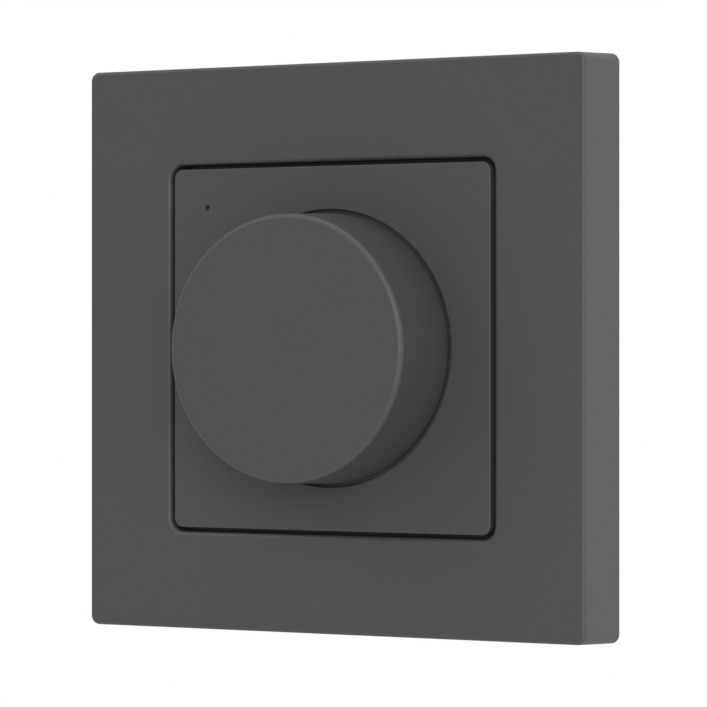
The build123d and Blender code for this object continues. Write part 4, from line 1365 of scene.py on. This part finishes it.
@dataclass
class IndicatorLamp:
    """The indicator lamp: a white base between two metal ends, with resin on top."""

    at: Spot = (-14.6, 14.6)
    size: Point = (2.0, 1.25, 0.8)
    base_inset: float = 0.3
    base_share: float = 0.45
    base_bevel: float = 0.04
    end: float = 0.4
    end_share: float = 0.4
    end_bevel: float = 0.05
    resin_inset: Spot = (0.35, 0.05)
    resin_bevel: float = 0.14

    def build(self) -> None:
        """Make the lamp's pieces."""
        place = Matrix.Translation((*self.at, CONTROL_FRONT))
        half, side, height = self.size[0] / 2, self.size[1] / 2, self.size[2]
        base, ends, resin = Mould(place), Mould(place), Mould(place)
        reach = half - self.base_inset
        base.box((-reach, -side, 0.0), (reach, side, height * self.base_share), self.base_bevel)
        base.piece("lamp_base", NATURAL_ACETAL)
        end_z = height * self.end_share
        for low, high in ((-half, self.end - half), (half - self.end, half)):
            ends.box((low, -side, 0.0), (high, side, end_z), self.end_bevel)
        ends.piece("lamp_ends", TINNED_COPPER)
        x, y = half - self.resin_inset[0], side - self.resin_inset[1]
        resin.box((-x, -y, end_z), (x, y, height), self.resin_bevel)
        resin.piece("lamp_resin", LED_RESIN, "indicator_led")


@dataclass(frozen=True)
class Track:
    """One run of copper on a board: its level, its width and the points that it passes."""

    level: float
    width: float
    route: tuple[Spot, ...]


@dataclass(frozen=True)
class SolderJoint:
    """One joint: where it is, the board's level, which way it stands and the radius of its foot."""

    x: float
    y: float
    level: float
    way: int
    radius: float


@dataclass
class BoardCopper:
    """The boards' copper runs under their lacquer, and the solder on every pin."""

    foil: float = 0.05
    sides: int = 20
    # The joint's radius as a share of its foot's, and its height there in millimetres.
    cone: tuple[Spot, ...] = ((1.0, 0.0), (0.78, 0.14), (0.6, 0.4), (0.5, 0.8), (0.3, 0.95))
    tracks: tuple[Track, ...] = (
        Track(CONTROL_FRONT, 0.5, ((-8.2, -12.1), (2.0, -12.1), (12.0, -2.5), (15.6, -2.54))),
        Track(CONTROL_FRONT, 0.5, ((-8.2, -12.9), (3.0, -12.9), (12.8, -5.1), (15.6, -5.08))),
        Track(CONTROL_FRONT, 0.5, ((-8.2, -9.7), (-3.6, -9.7), (-2.5, -8.6), (-2.5, -6.7))),
        Track(CONTROL_FRONT, 0.5, ((-8.2, -10.5), (-1.2, -10.5), (0.0, -9.3), (0.0, -6.7))),
        Track(CONTROL_FRONT, 0.5, ((-8.2, -11.3), (1.2, -11.3), (2.5, -10.0), (2.5, -6.7))),
        Track(CONTROL_FRONT, 0.5, ((-14.5, -8.2), (-14.5, 10.0), (-14.0, 13.8))),
        Track(CONTROL_FRONT, 0.5, ((-13.7, -8.2), (-13.7, 4.0), (-9.0, 8.7), (-4.5, 8.7), (-2.5, 6.7))),
        Track(CONTROL_FRONT, 1.2, ((2.5, 6.7), (5.5, 9.7), (12.0, 9.7), (15.6, 5.08))),
        Track(POWER_FRONT, 2.4, ((-11.25, -14.9), (-15.2, -10.9), (-15.2, 1.0), (-13.9, 2.25))),
        Track(POWER_FRONT, 2.4, ((-3.75, -14.9), (-3.75, -17.4), (14.0, -17.4), (16.2, -14.0))),
        Track(POWER_FRONT, 2.0, ((3.75, -14.9), (5.4, -11.5), (5.0, -11.25))),
        Track(POWER_FRONT, 2.0, ((11.25, -14.9), (11.25, -6.0), (8.0, -2.8))),
        Track(POWER_FRONT, 1.6, ((5.0, -7.75), (5.0, -3.4), (2.2, 1.0), (2.2, 8.0), (-1.0, 9.6))),
        Track(POWER_BACK, 3.0, ((-8.5, 6.6), (-8.5, 12.0), (8.5, 12.0), (8.5, 6.6))),
        Track(POWER_BACK, 1.2, ((-11.04, -5.6), (-11.04, -9.0), (14.0, -9.0), (15.6, -5.08))),
        Track(POWER_BACK, 1.2, ((5.96, -5.6), (5.96, -7.2), (12.8, -7.2), (15.6, -2.54))),
    )
    joints: tuple[SolderJoint, ...] = (
        *(SolderJoint(HEADER_X, PIN_PITCH * i, CONTROL_FRONT, 1, 0.85) for i in (-2, -1, 0, 1, 2)),
        *(SolderJoint(HEADER_X, PIN_PITCH * i, POWER_BACK, -1, 0.85) for i in (-2, -1, 0, 1, 2)),
        *(SolderJoint(x, -6.7, CONTROL_BACK, -1, 0.8) for x in (-2.5, 0.0, 2.5)),
        *(SolderJoint(x, 6.7, CONTROL_BACK, -1, 0.8) for x in (-2.5, 2.5)),
        *(SolderJoint(x, 0.0, CONTROL_BACK, -1, 1.4) for x in (-6.2, 6.2)),
        *(SolderJoint(x, TERMINAL_Y, POWER_FRONT, 1, 1.1) for x in TERMINAL_XS),
        *(SolderJoint(5.0, y, POWER_FRONT, 1, 0.7) for y in (-11.25, -7.75)),
    )

    def build(self) -> None:
        """Lay the copper and set the solder."""
        copper = Mould()
        for track in self.tracks:
            self._run(copper, track)
        copper.piece("board_tracks", LACQUERED_COPPER)
        solder = Mould()
        for joint in self.joints:
            cone = [(joint.radius * share, joint.level + joint.way * rise) for share, rise in self.cone]
            solder.solid(rings(cone, self.sides, joint.x, joint.y))
        solder.piece("solder_joints", TIN_SOLDER)

    def _run(self, mould: Mould, track: Track) -> None:
        """Lay one run as a single strip, mitred at its bends.

        Args:
            mould: The copper so far.
            track: The run.
        """
        spots = [Vector(spot) for spot in track.route]
        legs = [(b - a).normalized() for a, b in zip(spots, spots[1:])]
        left: list[Vector] = []
        right: list[Vector] = []
        for spot, before, after in zip(spots, [legs[0], *legs], [*legs, legs[-1]]):
            along = (before + after).normalized()
            across = Vector((-along.y, along.x)) * (track.width / 2 / along.dot(after))
            left.append(spot + across)
            right.append(spot - across)
        mould.solid(lift(left + right[::-1], track.level - self.foil, track.level + self.foil))


@dataclass(frozen=True)
class SoftLight:
    """A wide, even light from one side, as a softbox far away gives."""

    name: str
    azimuth: float
    elevation: float
    strength: float
    spread: float = 35.0

    def build(self) -> None:
        """Hang the light."""
        lamp = bpy.data.lights.new(self.name, "SUN")
        lamp.energy = self.strength
        lamp.angle = math.radians(self.spread)
        light = bpy.data.objects.new(self.name, lamp)
        turn, rise = math.radians(self.azimuth), math.radians(self.elevation)
        across = math.cos(rise)
        towards = Vector((math.sin(turn) * across, -math.cos(turn) * across, math.sin(rise)))
        light.rotation_euler = towards.to_track_quat("Z", "Y").to_euler()
        bpy.context.scene.collection.objects.link(light)


# Found by matching the panel's shades in the photograph: a key light in two boxes near the camera,
# one box at the right, one overhead and a fill from the left.
SOFT_LIGHTS = (
    SoftLight("key_high", 30.0, 25.0, 1.03),
    SoftLight("key_low", 30.0, 5.0, 0.79),
    SoftLight("right_box", 85.0, 5.0, 0.44),
    SoftLight("overhead_box", 0.0, 90.0, 0.57),
    SoftLight("left_fill", -50.0, 40.0, 0.6),
)


@dataclass
class Studio:
    """The pale floor, the white room, its lights and the camera of the photograph."""

    azimuth: float = 29.808
    distance: float = 0.56412
    focal_px: float = 3729.4
    image_px: float = 707.0
    axis_px: Spot = (363.0, 348.39)
    sensor_mm: float = 36.0
    clip: Spot = (0.01, 50.0)
    floor_z: float = -0.6
    floor_r: float = 2.2
    floor_steps: int = 96
    floor: str = "#d9d9d7"
    floor_roughness: float = 0.9
    room: str = "#ffffff"
    room_behind: float = 1.0
    room_before: float = 0.4
    room_turn: float = 0.1

    def build(self) -> None:
        """Set up floor, light and camera."""
        self._room()
        self._floor()
        self._camera()
        for light in SOFT_LIGHTS:
            light.build()
        bpy.context.scene.view_settings.view_transform = "Standard"

    def _room(self) -> None:
        """Surround the panel with a white room, bright behind it and softer before it."""
        world = bpy.data.worlds.new("white_room")
        world.use_nodes = True
        tree = world.node_tree
        walls = tree.nodes["Background"]
        walls.inputs["Color"].default_value = linear(self.room)
        place = add_node(tree, "ShaderNodeTexCoord").outputs["Generated"]
        depth = add_node(tree, "ShaderNodeSeparateXYZ", {}, {0: place}).outputs["Y"]
        turn = {"From Min": -self.room_turn, "From Max": self.room_turn}
        light = {"To Min": self.room_before, "To Max": self.room_behind}
        fade = {"interpolation_type": "SMOOTHSTEP", **turn, **light}
        glow = add_node(tree, "ShaderNodeMapRange", fade, {"Value": depth})
        tree.links.new(glow.outputs["Result"], walls.inputs["Strength"])
        bpy.context.scene.world = world

    def _floor(self) -> None:
        """Lay a round pale floor well below the panel."""
        plane = bmesh.new()
        bmesh.ops.create_circle(plane, cap_ends=True, radius=self.floor_r, segments=self.floor_steps)
        data = bpy.data.meshes.new("pale_floor")
        plane.to_mesh(data)
        plane.free()
        floor = bpy.data.objects.new("pale_floor", data)
        floor.location.z = self.floor_z
        bpy.context.scene.collection.objects.link(floor)
        paint = bpy.data.materials.new("matt_white_floor_paint")
        paint.use_nodes = True
        shader = paint.node_tree.nodes["Principled BSDF"]
        shader.inputs["Base Color"].default_value = linear(self.floor)
        shader.inputs["Roughness"].default_value = self.floor_roughness
        data.materials.append(paint)

    def _camera(self) -> None:
        """Put the camera where the photograph was taken from."""
        lens = bpy.data.cameras.new("photo_camera")
        lens.sensor_width = self.sensor_mm
        lens.lens = self.focal_px / self.image_px * self.sensor_mm
        middle = self.image_px / 2
        lens.shift_x = (middle - self.axis_px[0]) / self.image_px
        lens.shift_y = (self.axis_px[1] - middle) / self.image_px
        lens.clip_start, lens.clip_end = self.clip
        camera = bpy.data.objects.new("photo_camera", lens)
        turn = math.radians(self.azimuth)
        camera.location = (self.distance * math.sin(turn), -self.distance * math.cos(turn), 0.0)
        camera.rotation_euler = (math.pi / 2, 0.0, turn)
        bpy.context.scene.collection.objects.link(camera)
        bpy.context.scene.camera = camera


BUSH_THREAD = Thread(((0.0, 0.0),), 4.5, 6.4, 12.1, 0.75)
HOUSING_THREAD = Thread(((-21.8, -21.8), (21.8, 21.8)), 1.25, 0.2, 5.7, 0.45)
CLAMP_THREAD = Thread(tuple((x, TERMINAL_Y) for x in TERMINAL_XS), 1.45, -21.0, -19.25, 0.5)

PLAIN_PIECES = (
    PlainPiece("fixing_washer", ZINC_PLATE, 0.08),
    PlainPiece("fixing_nut", NICKEL_DIE_CAST, 0.07),
    PlainPiece("knob_spring", SPRING_STRIP, 0.05),
    PlainPiece("encoder_shaft", NICKEL_DIE_CAST, 0.08),
    PlainPiece("shaft_stop_ring", SPRING_STRIP, 0.05),
    PlainPiece("encoder_bush", NICKEL_DIE_CAST, 0.08, BUSH_THREAD),
    PlainPiece("encoder_bracket", ZINC_PLATE, 0.06),
    PlainPiece("encoder_case", BLACK_PBT, 0.1),
    PlainPiece("encoder_rotor", NATURAL_ACETAL, 0.04),
    PlainPiece("rotor_contact", TINNED_COPPER, 0.03),
    PlainPiece("detent_leaf", SPRING_STRIP, 0.03),
    PlainPiece("encoder_wipers", TINNED_COPPER, 0.02),
    PlainPiece("encoder_pins", TINNED_COPPER, 0.06),
    PlainPiece("switch_base", BLACK_PBT, 0.1),
    PlainPiece("switch_plunger", NATURAL_ACETAL, 0.08),
    PlainPiece("support_ring", GALVANISED_SHEET, 0.12),
    PlainPiece("housing_cover", GLASS_FILLED_NYLON, 0.15),
    PlainPiece("housing_screws", ZINC_PLATE, 0.1, HOUSING_THREAD),
    PlainPiece("control_board", SOLDER_LACQUER, 0.06),
    PlainPiece("control_chip", EPOXY_COMPOUND, 0.12),
    PlainPiece("light_guide", CLEAR_ACRYLIC, 0.05),
    PlainPiece("power_board", SOLDER_LACQUER, 0.06),
    PlainPiece("film_capacitor", YELLOW_PBT, 0.12),
    PlainPiece("filter_choke", FERRITE, 0.15),
    PlainPiece("fuse", BLACK_PBT, 0.15),
    PlainPiece("thermal_pads", SILICONE_PAD, 0.12),
    PlainPiece("heat_spreader", MILL_ALUMINIUM, 0.15),
    PlainPiece("terminal_poles", LIGHT_GREY_PBT, 0.13),
    PlainPiece("terminal_cages", STAMPED_BRASS, 0.08),
    PlainPiece("clamp_screws", ZINC_PLATE, 0.1, CLAMP_THREAD),
)


def main() -> None:
    """Build the studio and every sub-assembly, in order."""
    logging.basicConfig(level=logging.INFO, format="%(name)s: %(message)s")
    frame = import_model()
    nodes = frame["nodes"]
    Studio().build()
    CoverFrame().build()
    CentrePlate().build()
    Knob().build()
    HousingCup().build(nodes)
    SnapDome().build(nodes)
    SmoothingCan().build()
    ChokeWinding().build()
    PinHeader().build()
    PowerTransistors().build()
    ChipLegs().build()
    IndicatorLamp().build()
    BoardCopper().build()
    for plain in PLAIN_PIECES:
        plain.build(nodes)


if __name__ == "__main__":
    main()
